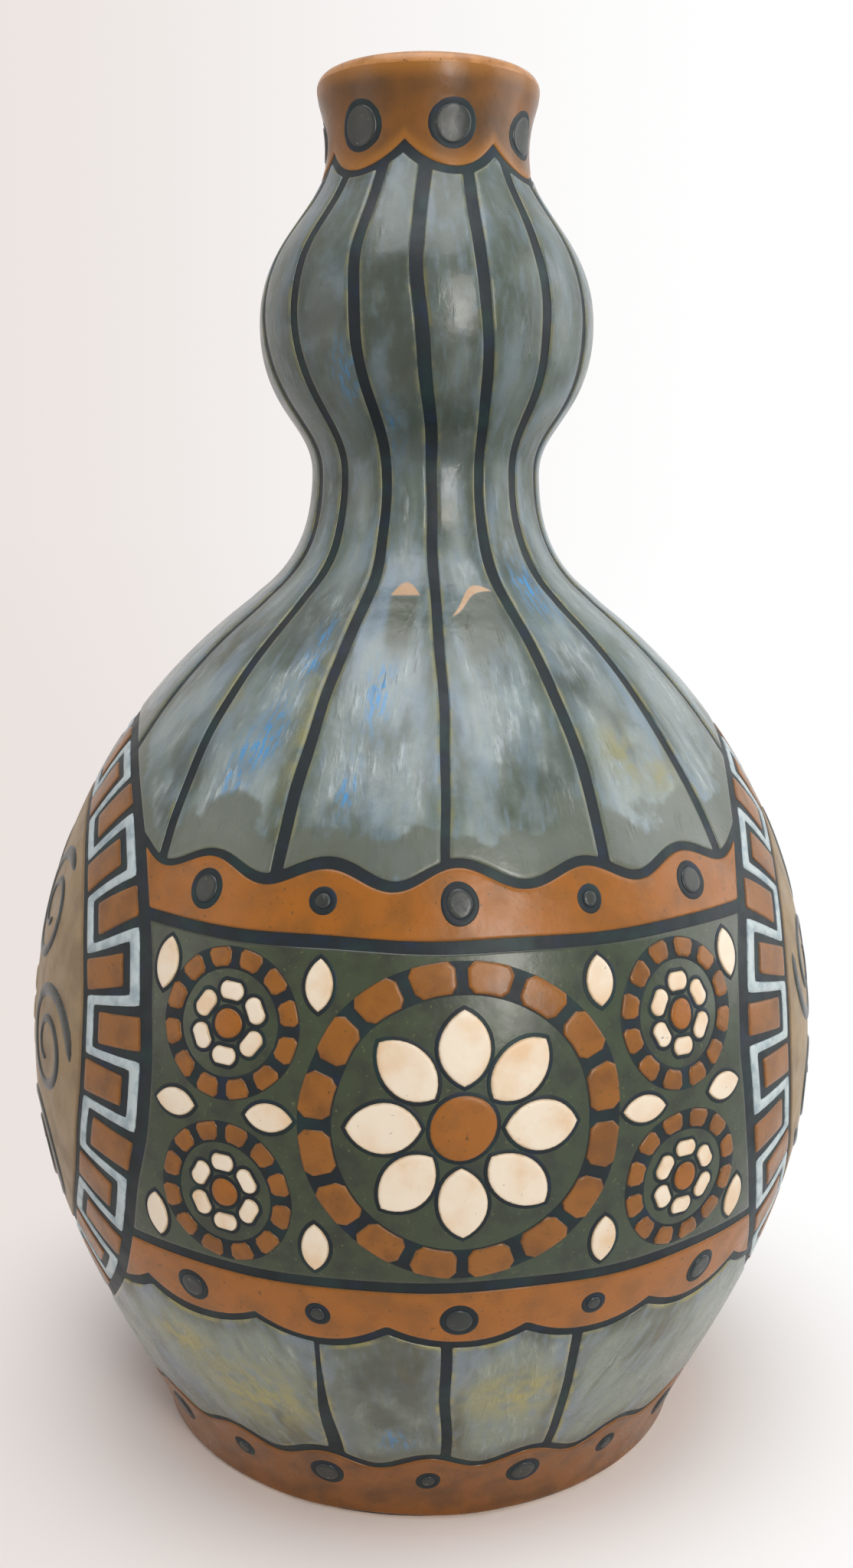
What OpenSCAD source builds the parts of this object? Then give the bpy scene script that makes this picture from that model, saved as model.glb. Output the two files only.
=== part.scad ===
// Gourd-shaped stoneware vase. Four thrown sections are luted together at stepped seams, the
// wall is covered with a dark slip, and every glaze field is a separate pad laid on that slip,
// so that the slip shows between the pads as the dark outlines. Dots and motifs are a second,
// thicker layer of glaze on top of the pads. The front faces -Y and the vase stands on z = 0.

/* [Body] */
// Diameter of the foot where it meets the table
foot_d = 122; // [114:1:130]
// Diameter of the belly at its widest
belly_d = 179; // [170:1:188]
// Height of the widest part of the belly
belly_z = 88; // [84:1:92]
// Diameter where the shoulder turns over into the neck
turn_d = 77; // [72:1:82]
// Height from there up to that turn
turn_rise = 102; // [99:1:105]
// Lean of the wall from upright at the turn, in degrees
turn_lean = 45; // [40:1:50]
// Diameter of the waist between the belly and the bulb
waist_d = 50; // [46:1:54]
// Height from the turn up to the waist
waist_rise = 28; // [26:0.5:30]
// Diameter of the upper bulb
bulb_d = 72.5; // [68:0.5:77]
// Height from the waist up to the widest part of the bulb
bulb_rise = 31; // [29:0.5:33]
// Diameter of the throat below the lip
throat_d = 43; // [40:0.5:46]
// Height from there up to the throat
throat_rise = 36; // [34.5:0.5:38]
// Diameter of the lip
lip_d = 47; // [44:0.5:50]
// Height from the throat up to the top of the lip
lip_rise = 15; // [13.5:0.5:17]

/* [Wall and foot] */
// Thickness of the thrown wall
wall = 5; // [4:0.5:6]
// Thickness of the floor above the hollow of the foot
floor_t = 8; // [6:0.5:10]
// Width of the foot ring that stands on the table
foot_ring_w = 9; // [7:0.5:12]
// Depth of the hollow inside the foot ring
foot_hollow = 2.5; // [1.5:0.5:3.5]
// Bevel at the outer edge of the foot
foot_bevel = 1; // [0.5:0.1:1.5]
// Radius of the rounded lip
lip_round = 2.2; // [1.5:0.1:2.4]
// Radius between the floor and the wall inside
floor_fillet = 10; // [6:1:14]
// Height of the step where two thrown sections are luted
seam_step = 3; // [2:0.5:4]
// Clearance between the upright faces of a seam
seam_gap = 0.2; // [0.1:0.05:0.4]

/* [Glaze] */
// Thickness of a glaze pad
glaze_t = 0.4; // [0.3:0.1:0.6]
// Thickness of the dots and motifs on top of a pad
relief_t = 0.4; // [0.3:0.1:0.6]
// Width of a dark line between two pads
line_w = 2.1; // [1.8:0.1:2.6]
// Width of a fine line between two small pads
fine_line_w = 1.3; // [1:0.1:1.6]
// Number of upright dark lines round the neck
stripe_count = 16; // [12:1:20]
// Turn of those lines from the middle of the front, in degrees
stripe_turn = -1.6; // [-4:0.2:4]

/* [Bands] */
// Number of scallops round the collar
collar_lobes = 7; // [6:1:8]
// Turn of the collar's scallops, in degrees
collar_turn = 8; // [-10:1:10]
// How far the collar's scallops hang below the throat
collar_drop = 7; // [6:0.5:8]
// How far the cusps between them lie below the throat
cusp_drop = 0.5; // [0.25:0.25:1.5]
// Diameter of the collar's dots
collar_dot_d = 10.4; // [9:0.2:10.6]
// Height of the middle of the collar's dots above the throat
collar_dot_rise = 2; // [1:0.5:3]
// Number of scallops round a wavy band
band_lobes = 20; // [18:2:22]
// Bottom edge of the upper band
upper_edge_z = 133; // [131:0.5:135]
// Height of the upper band with its scallops
upper_band_h = 12; // [11:0.5:14]
// Top edge of the lower band
lower_edge_z = 66.5; // [64:0.5:68]
// Height of the lower band with its scallops
lower_band_h = 12.5; // [11:0.5:14]
// Top of the foot band's scallops
foot_peak_z = 19.5; // [18:0.5:21]
// Depth of a band's scallops
scallop_h = 4; // [3:0.25:5]
// Turn of the foot band's scallops, in degrees
foot_turn = -3.4; // [-8:0.2:8]
// Diameter of the large dots on the bands
big_dot_d = 7.6; // [7:0.2:8]
// Diameter of the small dots on the bands
small_dot_d = 5.4; // [4.8:0.2:6]
// Height of the middle of the foot band's dots
foot_dot_z = 12.8; // [12:0.2:13.6]

/* [Side roundels] */
// Azimuth at which the edge of a roundel crosses the belly, in degrees
panel_turn = 41; // [39.5:0.5:43]
// Height of the gap between the foot band and a roundel
roundel_rise = 12.5; // [10:0.5:15]
// Width of the key border inside a roundel's edge
key_w = 13.5; // [12:0.5:15]
// Width of the pale key line
key_line_w = 2.2; // [1.8:0.1:2.6]
// Length of one turn of the key along the border
key_pitch = 23; // [20:0.5:26]
// Number of volutes in a roundel
volute_count = 7; // [6:1:8]

/* [Panels] */
// Gap between the middle rosette and the top and bottom of the panel
rosette_gap = 0.6; // [0.4:0.1:3]
// Gap between two small rosettes, one above the other
small_gap = 4; // [3:0.5:6]
// Gap between the small rosettes and the side edge of the panel
side_gap = 3.5; // [3:0.5:5]
// Number of petals of the middle rosette
petal_count = 8; // [7:1:10]
// Number of petals of a small rosette
small_petal_count = 6; // [5:1:7]

/* [Hidden] */

foot_r = foot_d / 2;
belly_r = belly_d / 2;
turn_r = turn_d / 2;
waist_r = waist_d / 2;
bulb_r = bulb_d / 2;
throat_r = throat_d / 2;
lip_r = lip_d / 2;
turn_z = belly_z + turn_rise;
waist_z = turn_z + waist_rise;
bulb_z = waist_z + bulb_rise;
throat_z = bulb_z + throat_rise;
height = throat_z + lip_rise;
lip_edge = min(lip_round, wall * 0.45);
lip_z = height - lip_edge;
reach = belly_r + 4 * (glaze_t + relief_t);
full_turn = 360;
half_turn = 180;
quarter_turn = 90;

// Lean of the wall at the foot, in degrees, and the lengths of the curve handles as shares of
// the height between two stations of the profile.
foot_lean = 7;
foot_share = 0.155;
belly_shares = [0.45, 0.67];
turn_shares = [0.05, 0.15];
waist_shares = [0.7, 0.33];
bulb_shares = [0.58, 0.51];
throat_shares = [0.35, 0.6];
lip_share = 0.3;
curve_steps = [10, 12, 8, 8, 8, 4];
arc_steps = 5;

function bezier(p0, p1, p2, p3, n) = [
    for (i = [0:n - 1]) let (t = i / n, u = 1 - t)
        u * u * u * p0 + 3 * u * u * t * p1 + 3 * u * t * t * p2 + t * t * t * p3
];
function reverse(list) = [for (i = [len(list) - 1:-1:0]) list[i]];
function arc(center, r, from, to) = [
    for (i = [0:arc_steps]) let (a = from + (to - from) * i / arc_steps)
        center + r * [cos(a), sin(a)]
];

// Stations of the profile, as radius and height.
foot_p = [foot_r, 0];
belly_p = [belly_r, belly_z];
turn_p = [turn_r, turn_z];
waist_p = [waist_r, waist_z];
bulb_p = [bulb_r, bulb_z];
throat_p = [throat_r, throat_z];
lip_p = [lip_r, lip_z];
turn_way = [-sin(turn_lean), cos(turn_lean)];
foot_way = [sin(foot_lean), cos(foot_lean)];
throat_span = lip_z - throat_z;

// The outside of the thrown wall, from the foot to the lip, with the height rising all the way.
wall_line = concat(
    bezier(foot_p, foot_p + foot_way * foot_share * belly_z,
        belly_p - [0, belly_shares[0] * belly_z], belly_p, curve_steps[0]),
    bezier(belly_p, belly_p + [0, belly_shares[1] * turn_rise],
        turn_p - turn_way * turn_shares[0] * turn_rise, turn_p, curve_steps[1]),
    bezier(turn_p, turn_p + turn_way * turn_shares[1] * waist_rise,
        waist_p - [0, waist_shares[0] * waist_rise], waist_p, curve_steps[2]),
    bezier(waist_p, waist_p + [0, waist_shares[1] * bulb_rise],
        bulb_p - [0, bulb_shares[0] * bulb_rise], bulb_p, curve_steps[3]),
    bezier(bulb_p, bulb_p + [0, bulb_shares[1] * throat_rise],
        throat_p - [0, throat_shares[0] * throat_rise], throat_p, curve_steps[4]),
    bezier(throat_p, throat_p + [0, throat_shares[1] * throat_span],
        lip_p - [0, lip_share * throat_span], lip_p, curve_steps[5]),
    [lip_p]
);

// A line parallel to the wall's outside, t outside it, or inside it where t is negative.
function normal_at(i) = let (
        a = wall_line[max(i - 1, 0)],
        b = wall_line[min(i + 1, len(wall_line) - 1)],
        d = (b - a) / norm(b - a)
    ) [d[1], -d[0]];
function shell(t) = [for (i = [0:len(wall_line) - 1]) wall_line[i] + t * normal_at(i)];
function r_on(line, z) = lookup(z, [for (p = line) [p[1], p[0]]]);
function clip(line, z0, z1) = concat(
    [[r_on(line, z0), z0]],
    [for (p = line) if (p[1] > z0 && p[1] < z1) p],
    [[r_on(line, z1), z1]]
);
inner_line = shell(-wall);

// Radius of the upright face of a seam: the middle of the wall.
function seam_r(z) = (r_on(wall_line, z) + r_on(inner_line, z)) / 2;

// The lower side of a seam: a ledge outside and a tongue inside.
function seam_below(z) = [
    [seam_r(z), z],
    [seam_r(z), z + seam_step],
    [r_on(inner_line, z + seam_step), z + seam_step]
];

// The upper side of a seam, which sits on the ledge and clears the tongue.
function seam_above(z) = [
    [r_on(inner_line, z + seam_step), z + seam_step],
    [seam_r(z) + seam_gap, z + seam_step],
    [seam_r(z) + seam_gap, z]
];

// A section between two seams.
module thrown_section(z0, z1) {
    rotate_extrude() polygon(concat(
        clip(wall_line, z0, z1),
        seam_below(z1),
        reverse(clip(inner_line, z0 + seam_step, z1 + seam_step)),
        seam_above(z0)
    ));
}

// A layer of glaze on the wall between two heights, from t0 to t1 outside the wall, over a
// span of degrees round the middle azimuth.
module skin(z0, z1, t0, t1, mid = 0, span = full_turn) {
    rotate([0, 0, mid - span / 2 - quarter_turn])
        rotate_extrude(angle = span) polygon(concat(
            clip(shell(t1), z0, z1),
            reverse(clip(shell(t0), z0, z1))
        ));
}
module pad(z0, z1, mid = 0, span = full_turn) {
    skin(z0, z1, 0, glaze_t, mid, span);
}
module relief(z0, z1, mid = 0, span = full_turn) {
    skin(z0, z1, glaze_t, glaze_t + relief_t, mid, span);
}

// Stands a flat outline upright, square to the azimuth, and carries it out through the wall.
// The outline's x runs round the vase and its y is the height.
module facing(az, from_r = 0) {
    rotate([0, 0, az]) rotate([quarter_turn, 0, 0])
        translate([0, 0, from_r]) linear_extrude(reach - from_r) children();
}

// The front is at azimuth 0, the right roundel at 90, the back at 180.
lobe_pitch = full_turn / band_lobes;
collar_pitch = full_turn / collar_lobes;
stripe_pitch = full_turn / stripe_count;
roundel_azimuths = [-quarter_turn, quarter_turn];
panel_azimuths = [0, half_turn];
dots_a_side = 2;
panel_lobe_span = dots_a_side + 1;

// Heights of the collar's parts, the bands' scallops and the roundels.
collar_low_z = throat_z - collar_drop;
collar_cusp_z = throat_z - cusp_drop;
collar_dot_z = throat_z + collar_dot_rise;
upper_peak_z = upper_edge_z + upper_band_h;
lower_peak_z = lower_edge_z - lower_band_h;
roundel_r = belly_r * cos(panel_turn) - line_w;
roundel_z = foot_peak_z + roundel_rise + roundel_r;

// Half the projected width of one lobe where the wall has radius r.
function lobe_half(r, pitch) = r * sin(pitch / 2);

// Radius of a scallop's arc from its half width and its depth.
function scallop_r(half, depth) = (half * half + depth * depth) / (2 * depth);

// The notch between two scallops that rise to peak_z, or hang down to it, seen from the cusp.
// It stops just past the cusp, and just short of the middle of the scallops at its sides, so
// that no two notches touch.
notch_past_share = 0.1;
notch_wide_share = 0.9;
module notch(peak_z, depth, half, up) {
    r = scallop_r(half, depth);
    deep = depth * (1 + notch_past_share);
    wide = 2 * half * notch_wide_share;
    difference() {
        translate([-wide / 2, up > 0 ? peak_z - deep : peak_z - depth])
            square([wide, deep + depth]);
        for (side = [-1, 1]) translate([side * half, peak_z - up * r]) circle(r);
    }
}

// Radius just inside a wall of radius r, where the cutters of neighbouring notches start.
notch_from_share = 0.95;
function notch_from(r) = r * notch_from_share;

// One scallop grown by the width of the dark line, cut off at the sides of its pitch.
module grown_lobe(peak_z, depth, half, up) {
    r = scallop_r(half, depth);
    intersection() {
        translate([0, peak_z - up * r]) circle(r + line_w);
        translate([-half, peak_z - up * (depth + line_w) - 2 * depth])
            square([2 * half, 2 * (2 * depth + line_w)]);
    }
}

module roundel_cut(grow) {
    for (az = roundel_azimuths)
        facing(az) translate([0, roundel_z]) circle(roundel_r + grow);
}

upper_half = lobe_half(r_on(wall_line, upper_peak_z - scallop_h), lobe_pitch);
lower_half = lobe_half(r_on(wall_line, lower_peak_z + scallop_h), lobe_pitch);
foot_half = lobe_half(r_on(wall_line, foot_peak_z), lobe_pitch);
collar_half = lobe_half(throat_r, collar_pitch);
collar_depth = collar_cusp_z - collar_low_z;

module lower_bowl() {
    ring_in = foot_r - foot_ring_w;
    in_z = foot_hollow + floor_t;
    corner = [r_on(inner_line, in_z + floor_fillet) - floor_fillet, in_z + floor_fillet];
    color("sienna") rotate_extrude() polygon(concat(
        [[0, foot_hollow], [ring_in - foot_hollow, foot_hollow], [ring_in, 0]],
        [[foot_r - foot_bevel, 0]],
        clip(wall_line, foot_bevel, belly_z),
        seam_below(belly_z),
        reverse(clip(inner_line, in_z + floor_fillet, belly_z + seam_step)),
        arc(corner, floor_fillet, 0, -quarter_turn),
        [[0, in_z]]
    ));
}

module shoulder() {
    color("darkslategray") thrown_section(belly_z, waist_z);
}

module bulb() {
    color("darkslategray") thrown_section(waist_z, throat_z);
}

module collar() {
    in_r = r_on(inner_line, lip_z);
    color("peru") rotate_extrude() polygon(concat(
        clip(wall_line, throat_z, lip_z),
        arc([lip_r - lip_edge, lip_z], lip_edge, 0, quarter_turn),
        arc([in_r + lip_edge, lip_z], lip_edge, quarter_turn, half_turn),
        reverse(clip(inner_line, throat_z + seam_step, lip_z)),
        seam_above(throat_z)
    ));
}

module collar_band() {
    color("peru") difference() {
        pad(collar_low_z + glaze_t, lip_z);
        for (i = [0:collar_lobes - 1])
            facing(collar_turn + (i + 0.5) * collar_pitch, notch_from(throat_r))
                notch(collar_low_z, collar_depth, collar_half, -1);
    }
}

module collar_dots() {
    color("darkslategray") intersection() {
        relief(collar_dot_z - collar_dot_d, collar_dot_z + collar_dot_d);
        for (i = [0:collar_lobes - 1])
            facing(collar_turn + i * collar_pitch, throat_r / 2)
                translate([0, collar_dot_z]) circle(d = collar_dot_d);
    }
}

module neck_gores() {
    color("slategray") difference() {
        pad(upper_peak_z - scallop_h + line_w, collar_cusp_z - line_w);
        for (i = [0:stripe_count - 1])
            facing(stripe_turn + i * stripe_pitch, throat_r / 2)
                translate([-line_w / 2, 0]) square([line_w, height]);
        for (i = [0:collar_lobes - 1])
            facing(collar_turn + i * collar_pitch, throat_r / 2)
                grown_lobe(collar_low_z, collar_depth, collar_half, -1);
        for (az = panel_azimuths, i = [-panel_lobe_span:panel_lobe_span])
            facing(az + i * lobe_pitch, belly_r / 2)
                grown_lobe(upper_peak_z, scallop_h, upper_half, 1);
        roundel_cut(line_w);
    }
}

module upper_band() {
    color("peru") difference() {
        pad(upper_edge_z, upper_peak_z - glaze_t);
        for (az = panel_azimuths, i = [-panel_lobe_span:panel_lobe_span - 1])
            facing(az + (i + 0.5) * lobe_pitch, notch_from(r_on(wall_line, upper_peak_z)))
                notch(upper_peak_z, scallop_h, upper_half, 1);
        roundel_cut(line_w);
    }
}

module lower_band() {
    color("peru") difference() {
        pad(lower_peak_z + glaze_t, lower_edge_z);
        for (az = panel_azimuths, i = [-panel_lobe_span:panel_lobe_span - 1])
            facing(az + (i + 0.5) * lobe_pitch, notch_from(r_on(wall_line, lower_peak_z)))
                notch(lower_peak_z, scallop_h, lower_half, -1);
        roundel_cut(line_w);
    }
}

module foot_band() {
    color("peru") difference() {
        pad(foot_bevel, foot_peak_z - glaze_t);
        for (i = [0:band_lobes - 1])
            facing(foot_turn + (i + 0.5) * lobe_pitch, notch_from(foot_r))
                notch(foot_peak_z, scallop_h, foot_half, 1);
    }
}

// The dots on a band: large ones under every second scallop, small ones between.
module band_dots(z, azimuths, big_first) {
    color("darkslategray") intersection() {
        relief(z - big_dot_d, z + big_dot_d);
        for (i = [0:len(azimuths) - 1]) let (big = abs(i % 2) == (big_first ? 0 : 1))
            facing(azimuths[i], foot_r / 2)
                translate([0, z]) circle(d = big ? big_dot_d : small_dot_d);
    }
}
panel_dot_azimuths = [
    for (az = panel_azimuths, i = [-dots_a_side:dots_a_side]) az + i * lobe_pitch
];
foot_dot_azimuths = [for (i = [0:band_lobes - 1]) foot_turn + i * lobe_pitch];

module upper_band_dots() {
    band_dots((upper_edge_z + upper_peak_z) / 2, panel_dot_azimuths, true);
}

module lower_band_dots() {
    band_dots((lower_edge_z + lower_peak_z) / 2, panel_dot_azimuths, true);
}

module foot_band_dots() {
    band_dots(foot_dot_z, foot_dot_azimuths, false);
}

module skirt_gores() {
    color("slategray") difference() {
        pad(foot_peak_z - scallop_h + line_w, lower_peak_z + scallop_h - line_w);
        for (az = panel_azimuths, i = [-1:1])
            facing(az + i * lobe_pitch, foot_r / 2)
                translate([-line_w / 2, 0]) square([line_w, lower_edge_z]);
        for (i = [0:band_lobes - 1])
            facing(foot_turn + i * lobe_pitch, foot_r / 2)
                grown_lobe(foot_peak_z, scallop_h, foot_half, 1);
        for (az = panel_azimuths, i = [-panel_lobe_span:panel_lobe_span])
            facing(az + i * lobe_pitch, foot_r / 2)
                grown_lobe(lower_peak_z, scallop_h, lower_half, -1);
        roundel_cut(line_w);
    }
}

// The panel's field reaches from one roundel's border to the other's.
panel_z = (upper_edge_z + lower_edge_z) / 2;
panel_low_z = lower_edge_z + line_w;
panel_high_z = upper_edge_z - line_w;
panel_span = 130;

// Azimuth of the field's side edge at a height.
function border_az(z) = acos(
    sqrt(pow(roundel_r + line_w, 2) - pow(z - roundel_z, 2)) / r_on(wall_line, z)
);

// Half the panel's width and height, measured along the wall through its middle, and the
// azimuth of a place at that distance from the middle.
panel_r = r_on(wall_line, panel_z);
panel_half_w = panel_r * border_az(panel_z) * PI / half_turn;
panel_half_h = (panel_high_z - panel_low_z) / 2;
function wall_az(at) = at / panel_r * half_turn / PI;

// The middle rosette fills the panel's height, or its share of the width in a narrow panel.
// The small rosettes stand in pairs beside it, each pair as high as the middle one.
rosette_width_share = 0.485;
rosette_r = min(panel_half_h, panel_half_w * rosette_width_share) - rosette_gap;
small_rosette_r = (rosette_r - small_gap / 2) / 2;
small_rosette_at = panel_half_w - side_gap - small_rosette_r;
small_rosette_rise = rosette_r - small_rosette_r;

// A pointed oval of two arcs, standing on its lower point at the origin.
module leaf(length, width) {
    r = (length * length + width * width) / (4 * width);
    translate([0, length / 2]) intersection_for (side = [-1, 1])
        translate([side * (r - width / 2), 0]) circle(r);
}

// The parts of a rosette of radius r: a heart, petals and a ring of blocks of width w.
block_share = 0.2;
small_block_share = 0.27;
block_w = rosette_r * block_share;
small_block_w = small_rosette_r * small_block_share;
heart_share = 0.2;
petal_width_share = 0.86;
function heart_r(r) = r * heart_share;
function petal_from(r) = heart_r(r) + fine_line_w;
function petal_len(r, w) = r - w - 2 * fine_line_w - petal_from(r);
function petal_wide(r, w, count) =
    2 * (petal_from(r) + petal_len(r, w) / 2) * sin(half_turn / count) * petal_width_share;

module block_ring(r, w) {
    count = round(PI * r / w);
    difference() {
        circle(r);
        circle(r - w);
        for (i = [0:count - 1]) rotate(i * full_turn / count)
            translate([0, -fine_line_w / 2]) square([2 * r, fine_line_w]);
    }
}

module petal_ring(r, w, count) {
    for (i = [0:count - 1]) rotate(i * full_turn / count)
        translate([0, petal_from(r)]) leaf(petal_len(r, w), petal_wide(r, w, count));
}

// Places of the middle rosette and of the four small ones round it.
module middle_place(az) {
    facing(az, foot_r / 2) translate([0, panel_z]) children();
}
module small_places(az) {
    for (side = [-1, 1], up = [-1, 1])
        facing(az + side * wall_az(small_rosette_at), foot_r / 2)
            translate([0, panel_z + up * small_rosette_rise]) children();
}

// The relief of a panel over the outlines that its children stand on.
module panel_relief(az) {
    intersection() {
        relief(panel_low_z, panel_high_z, az, panel_span);
        union() children();
    }
}

module field(az) {
    color("darkolivegreen") difference() {
        pad(panel_low_z, panel_high_z, az, panel_span);
        roundel_cut(line_w);
    }
}

module blocks(az) {
    color("peru") panel_relief(az) {
        middle_place(az) block_ring(rosette_r, block_w);
        small_places(az) block_ring(small_rosette_r, small_block_w);
    }
}

module petals(az) {
    color("antiquewhite") panel_relief(az) {
        middle_place(az) petal_ring(rosette_r, block_w, petal_count);
        small_places(az) petal_ring(small_rosette_r, small_block_w, small_petal_count);
    }
}

module hearts(az) {
    color("peru") panel_relief(az) {
        middle_place(az) circle(heart_r(rosette_r));
        small_places(az) circle(heart_r(small_rosette_r));
    }
}

// Middles of the leaves in a panel's half, beside the small rosettes' middle as shares of their
// radius and above the panel's middle as shares of the middle rosette's radius, and each leaf's
// turn as a share of a quarter turn.
leaf_shares = [
    [-0.69, 0, 1], [0.77, 0, 1],
    [-1.3, 0.82, 0], [-1.3, -0.82, 0],
    [1.15, 0.82, 0], [1.15, -0.82, 0]
];
leaf_len_share = 0.68;
leaf_width_share = 0.39;
leaf_len = small_rosette_r * leaf_len_share;
leaf_w = small_rosette_r * leaf_width_share;

module leaves(az) {
    color("wheat") panel_relief(az)
        for (side = [-1, 1], at = leaf_shares)
            facing(az + side * wall_az(small_rosette_at + at[0] * small_rosette_r), foot_r / 2)
                translate([0, panel_z + at[1] * rosette_r])
                    rotate(-side * at[2] * quarter_turn)
                        translate([0, -leaf_len / 2]) leaf(leaf_len, leaf_w);
}

// The round field inside a roundel's key border.
tondo_r = roundel_r - key_w - fine_line_w;
roundel_span = 130;
key_mid_r = roundel_r - key_w / 2;
key_swing = (key_w - key_line_w) / 2;
key_count = round(2 * PI * key_mid_r / key_pitch);
key_step = full_turn / key_count;

module roundel_pad(az) {
    intersection() {
        pad(roundel_z - roundel_r, roundel_z + roundel_r, az, roundel_span);
        facing(az, foot_r / 2) translate([0, roundel_z]) children();
    }
}

module tondo(az) {
    color("tan") roundel_pad(az) circle(tondo_r);
}

// One side of the key line: a square wave round the roundel, grown out by g.
function key_side(g) = [
    for (i = [0:key_count - 1]) let (
            a = (i - 0.25) * key_step,
            lean = (g > 0 ? 1 : -1) * (key_line_w / 2 / key_mid_r) * half_turn / PI,
            hi = key_mid_r + key_swing + g,
            lo = key_mid_r - key_swing + g
        )
        each [
            hi * [cos(a - lean), sin(a - lean)],
            hi * [cos(a + key_step / 2 + lean), sin(a + key_step / 2 + lean)],
            lo * [cos(a + key_step / 2 + lean), sin(a + key_step / 2 + lean)],
            lo * [cos(a + key_step - lean), sin(a + key_step - lean)]
        ]
];

module key_line(az) {
    color("lightsteelblue") roundel_pad(az) difference() {
        polygon(key_side(key_line_w / 2));
        polygon(key_side(-key_line_w / 2));
    }
}

// Blocks in the bays of the key line, on both sides of it.
module key_bays() {
    gap = key_line_w / 2 + fine_line_w;
    bay = 2 * key_mid_r * sin(key_step / 4) - 2 * gap;
    for (i = [0:key_count - 1]) {
        rotate(i * key_step)
            translate([tondo_r + fine_line_w, -bay / 2])
                square([key_mid_r + key_swing - gap - tondo_r - fine_line_w, bay]);
        rotate((i + 0.5) * key_step)
            translate([key_mid_r - key_swing + gap, -bay / 2])
                square([roundel_r - key_mid_r + key_swing - gap, bay]);
    }
}

module key_blocks(az) {
    color("peru") roundel_pad(az) key_bays();
}

// The volutes stand on a circle round a small rosette.
volute_r_share = 0.66;
tondo_rosette_share = 0.3;
volute_r = tondo_r * volute_r_share;
tondo_rosette_r = tondo_r * tondo_rosette_share;

// A volute: a ribbon that winds in from the rim of its circle and thins towards its eye.
volute_turns = 1.75;
volute_steps = 20;
volute_size_share = 0.44;
volute_ribbon_share = 0.26;
volute_in_share = 0.8;
volute_thin_share = 0.6;
volute_size = 2 * PI * volute_r / volute_count * volute_size_share;
function volute_point(s, side) = let (
        r = volute_size * (1 - volute_in_share * s),
        w = side * volute_size * volute_ribbon_share * (1 - volute_thin_share * s) / 2
    ) (r + w) * [cos(s * volute_turns * full_turn), sin(s * volute_turns * full_turn)];

module volute() {
    polygon(concat(
        [for (i = [0:volute_steps]) volute_point(i / volute_steps, 1)],
        [for (i = [volute_steps:-1:0]) volute_point(i / volute_steps, -1)]
    ));
}

module volutes(az) {
    color("darkslategray") intersection() {
        relief(roundel_z - tondo_r, roundel_z + tondo_r, az, roundel_span);
        facing(az, foot_r / 2) translate([0, roundel_z])
            for (i = [0:volute_count - 1]) rotate(i * full_turn / volute_count)
                translate([volute_r, 0]) volute();
    }
}

module tondo_rosette(az) {
    color("antiquewhite") intersection() {
        relief(roundel_z - tondo_r, roundel_z + tondo_r, az, roundel_span);
        facing(az, foot_r / 2) translate([0, roundel_z]) {
            petal_ring(tondo_rosette_r, 0, petal_count);
            circle(heart_r(tondo_rosette_r));
        }
    }
}

lower_bowl();
shoulder();
bulb();
collar();
collar_band();
collar_dots();
neck_gores();
upper_band();
upper_band_dots();
lower_band();
lower_band_dots();
skirt_gores();
foot_band();
foot_band_dots();
field(0);  // front_field
blocks(0);  // front_blocks
petals(0);  // front_petals
hearts(0);  // front_hearts
leaves(0);  // front_leaves
field(half_turn);  // back_field
blocks(half_turn);  // back_blocks
petals(half_turn);  // back_petals
hearts(half_turn);  // back_hearts
leaves(half_turn);  // back_leaves
tondo(-quarter_turn);  // left_tondo
key_line(-quarter_turn);  // left_key_line
key_blocks(-quarter_turn);  // left_key_blocks
volutes(-quarter_turn);  // left_volutes
tondo_rosette(-quarter_turn);  // left_rosette
tondo(quarter_turn);  // right_tondo
key_line(quarter_turn);  // right_key_line
key_blocks(quarter_turn);  // right_key_blocks
volutes(quarter_turn);  // right_volutes
tondo_rosette(quarter_turn);  // right_rosette
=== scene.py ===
"""Looks of a gourd-shaped stoneware vase, built round its packed thrown sections and glaze pads.

Lengths are in millimetres and azimuths in degrees, with 0 at the front (-Y) and 90 at +X, until
a mesh is made in metres. Every glaze pad is a closed, softly domed shell that follows the wall,
so that the dark slip shows as sunk lines between the pads, as on the real vase.
"""

import logging
import math
from collections.abc import Callable
from dataclasses import dataclass, field, replace
from enum import Enum

import bpy
import numpy as np
from mathutils import Matrix, Vector


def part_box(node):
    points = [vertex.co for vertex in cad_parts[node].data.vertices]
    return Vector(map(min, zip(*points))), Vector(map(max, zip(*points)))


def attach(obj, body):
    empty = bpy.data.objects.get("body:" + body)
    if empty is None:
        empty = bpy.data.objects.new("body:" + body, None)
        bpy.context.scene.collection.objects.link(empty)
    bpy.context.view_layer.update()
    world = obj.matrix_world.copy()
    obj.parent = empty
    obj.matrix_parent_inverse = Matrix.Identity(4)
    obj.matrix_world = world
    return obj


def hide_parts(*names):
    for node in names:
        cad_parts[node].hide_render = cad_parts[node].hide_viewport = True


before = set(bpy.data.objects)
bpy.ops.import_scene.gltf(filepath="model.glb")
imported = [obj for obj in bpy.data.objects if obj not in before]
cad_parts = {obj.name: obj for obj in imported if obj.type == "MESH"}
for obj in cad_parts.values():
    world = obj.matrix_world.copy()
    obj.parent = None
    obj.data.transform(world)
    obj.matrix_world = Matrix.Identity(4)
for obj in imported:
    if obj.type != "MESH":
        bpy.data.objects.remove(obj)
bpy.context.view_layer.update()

LOG = logging.getLogger("vase")
MM = 0.001
QUARTER_TURN = 90.0
HALF_TURN = 180.0
FULL_TURN = 360.0
# Degrees in a radian, rounded.
RADIAN = 57.3
# Eases a range of values in and out.
SMOOTH = {"interpolation_type": "SMOOTHSTEP"}
# Places of a Mix node's lower and upper colour among its inputs, and of what it gives.
UNDER, OVER, MIXED = 6, 7, 2
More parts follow.
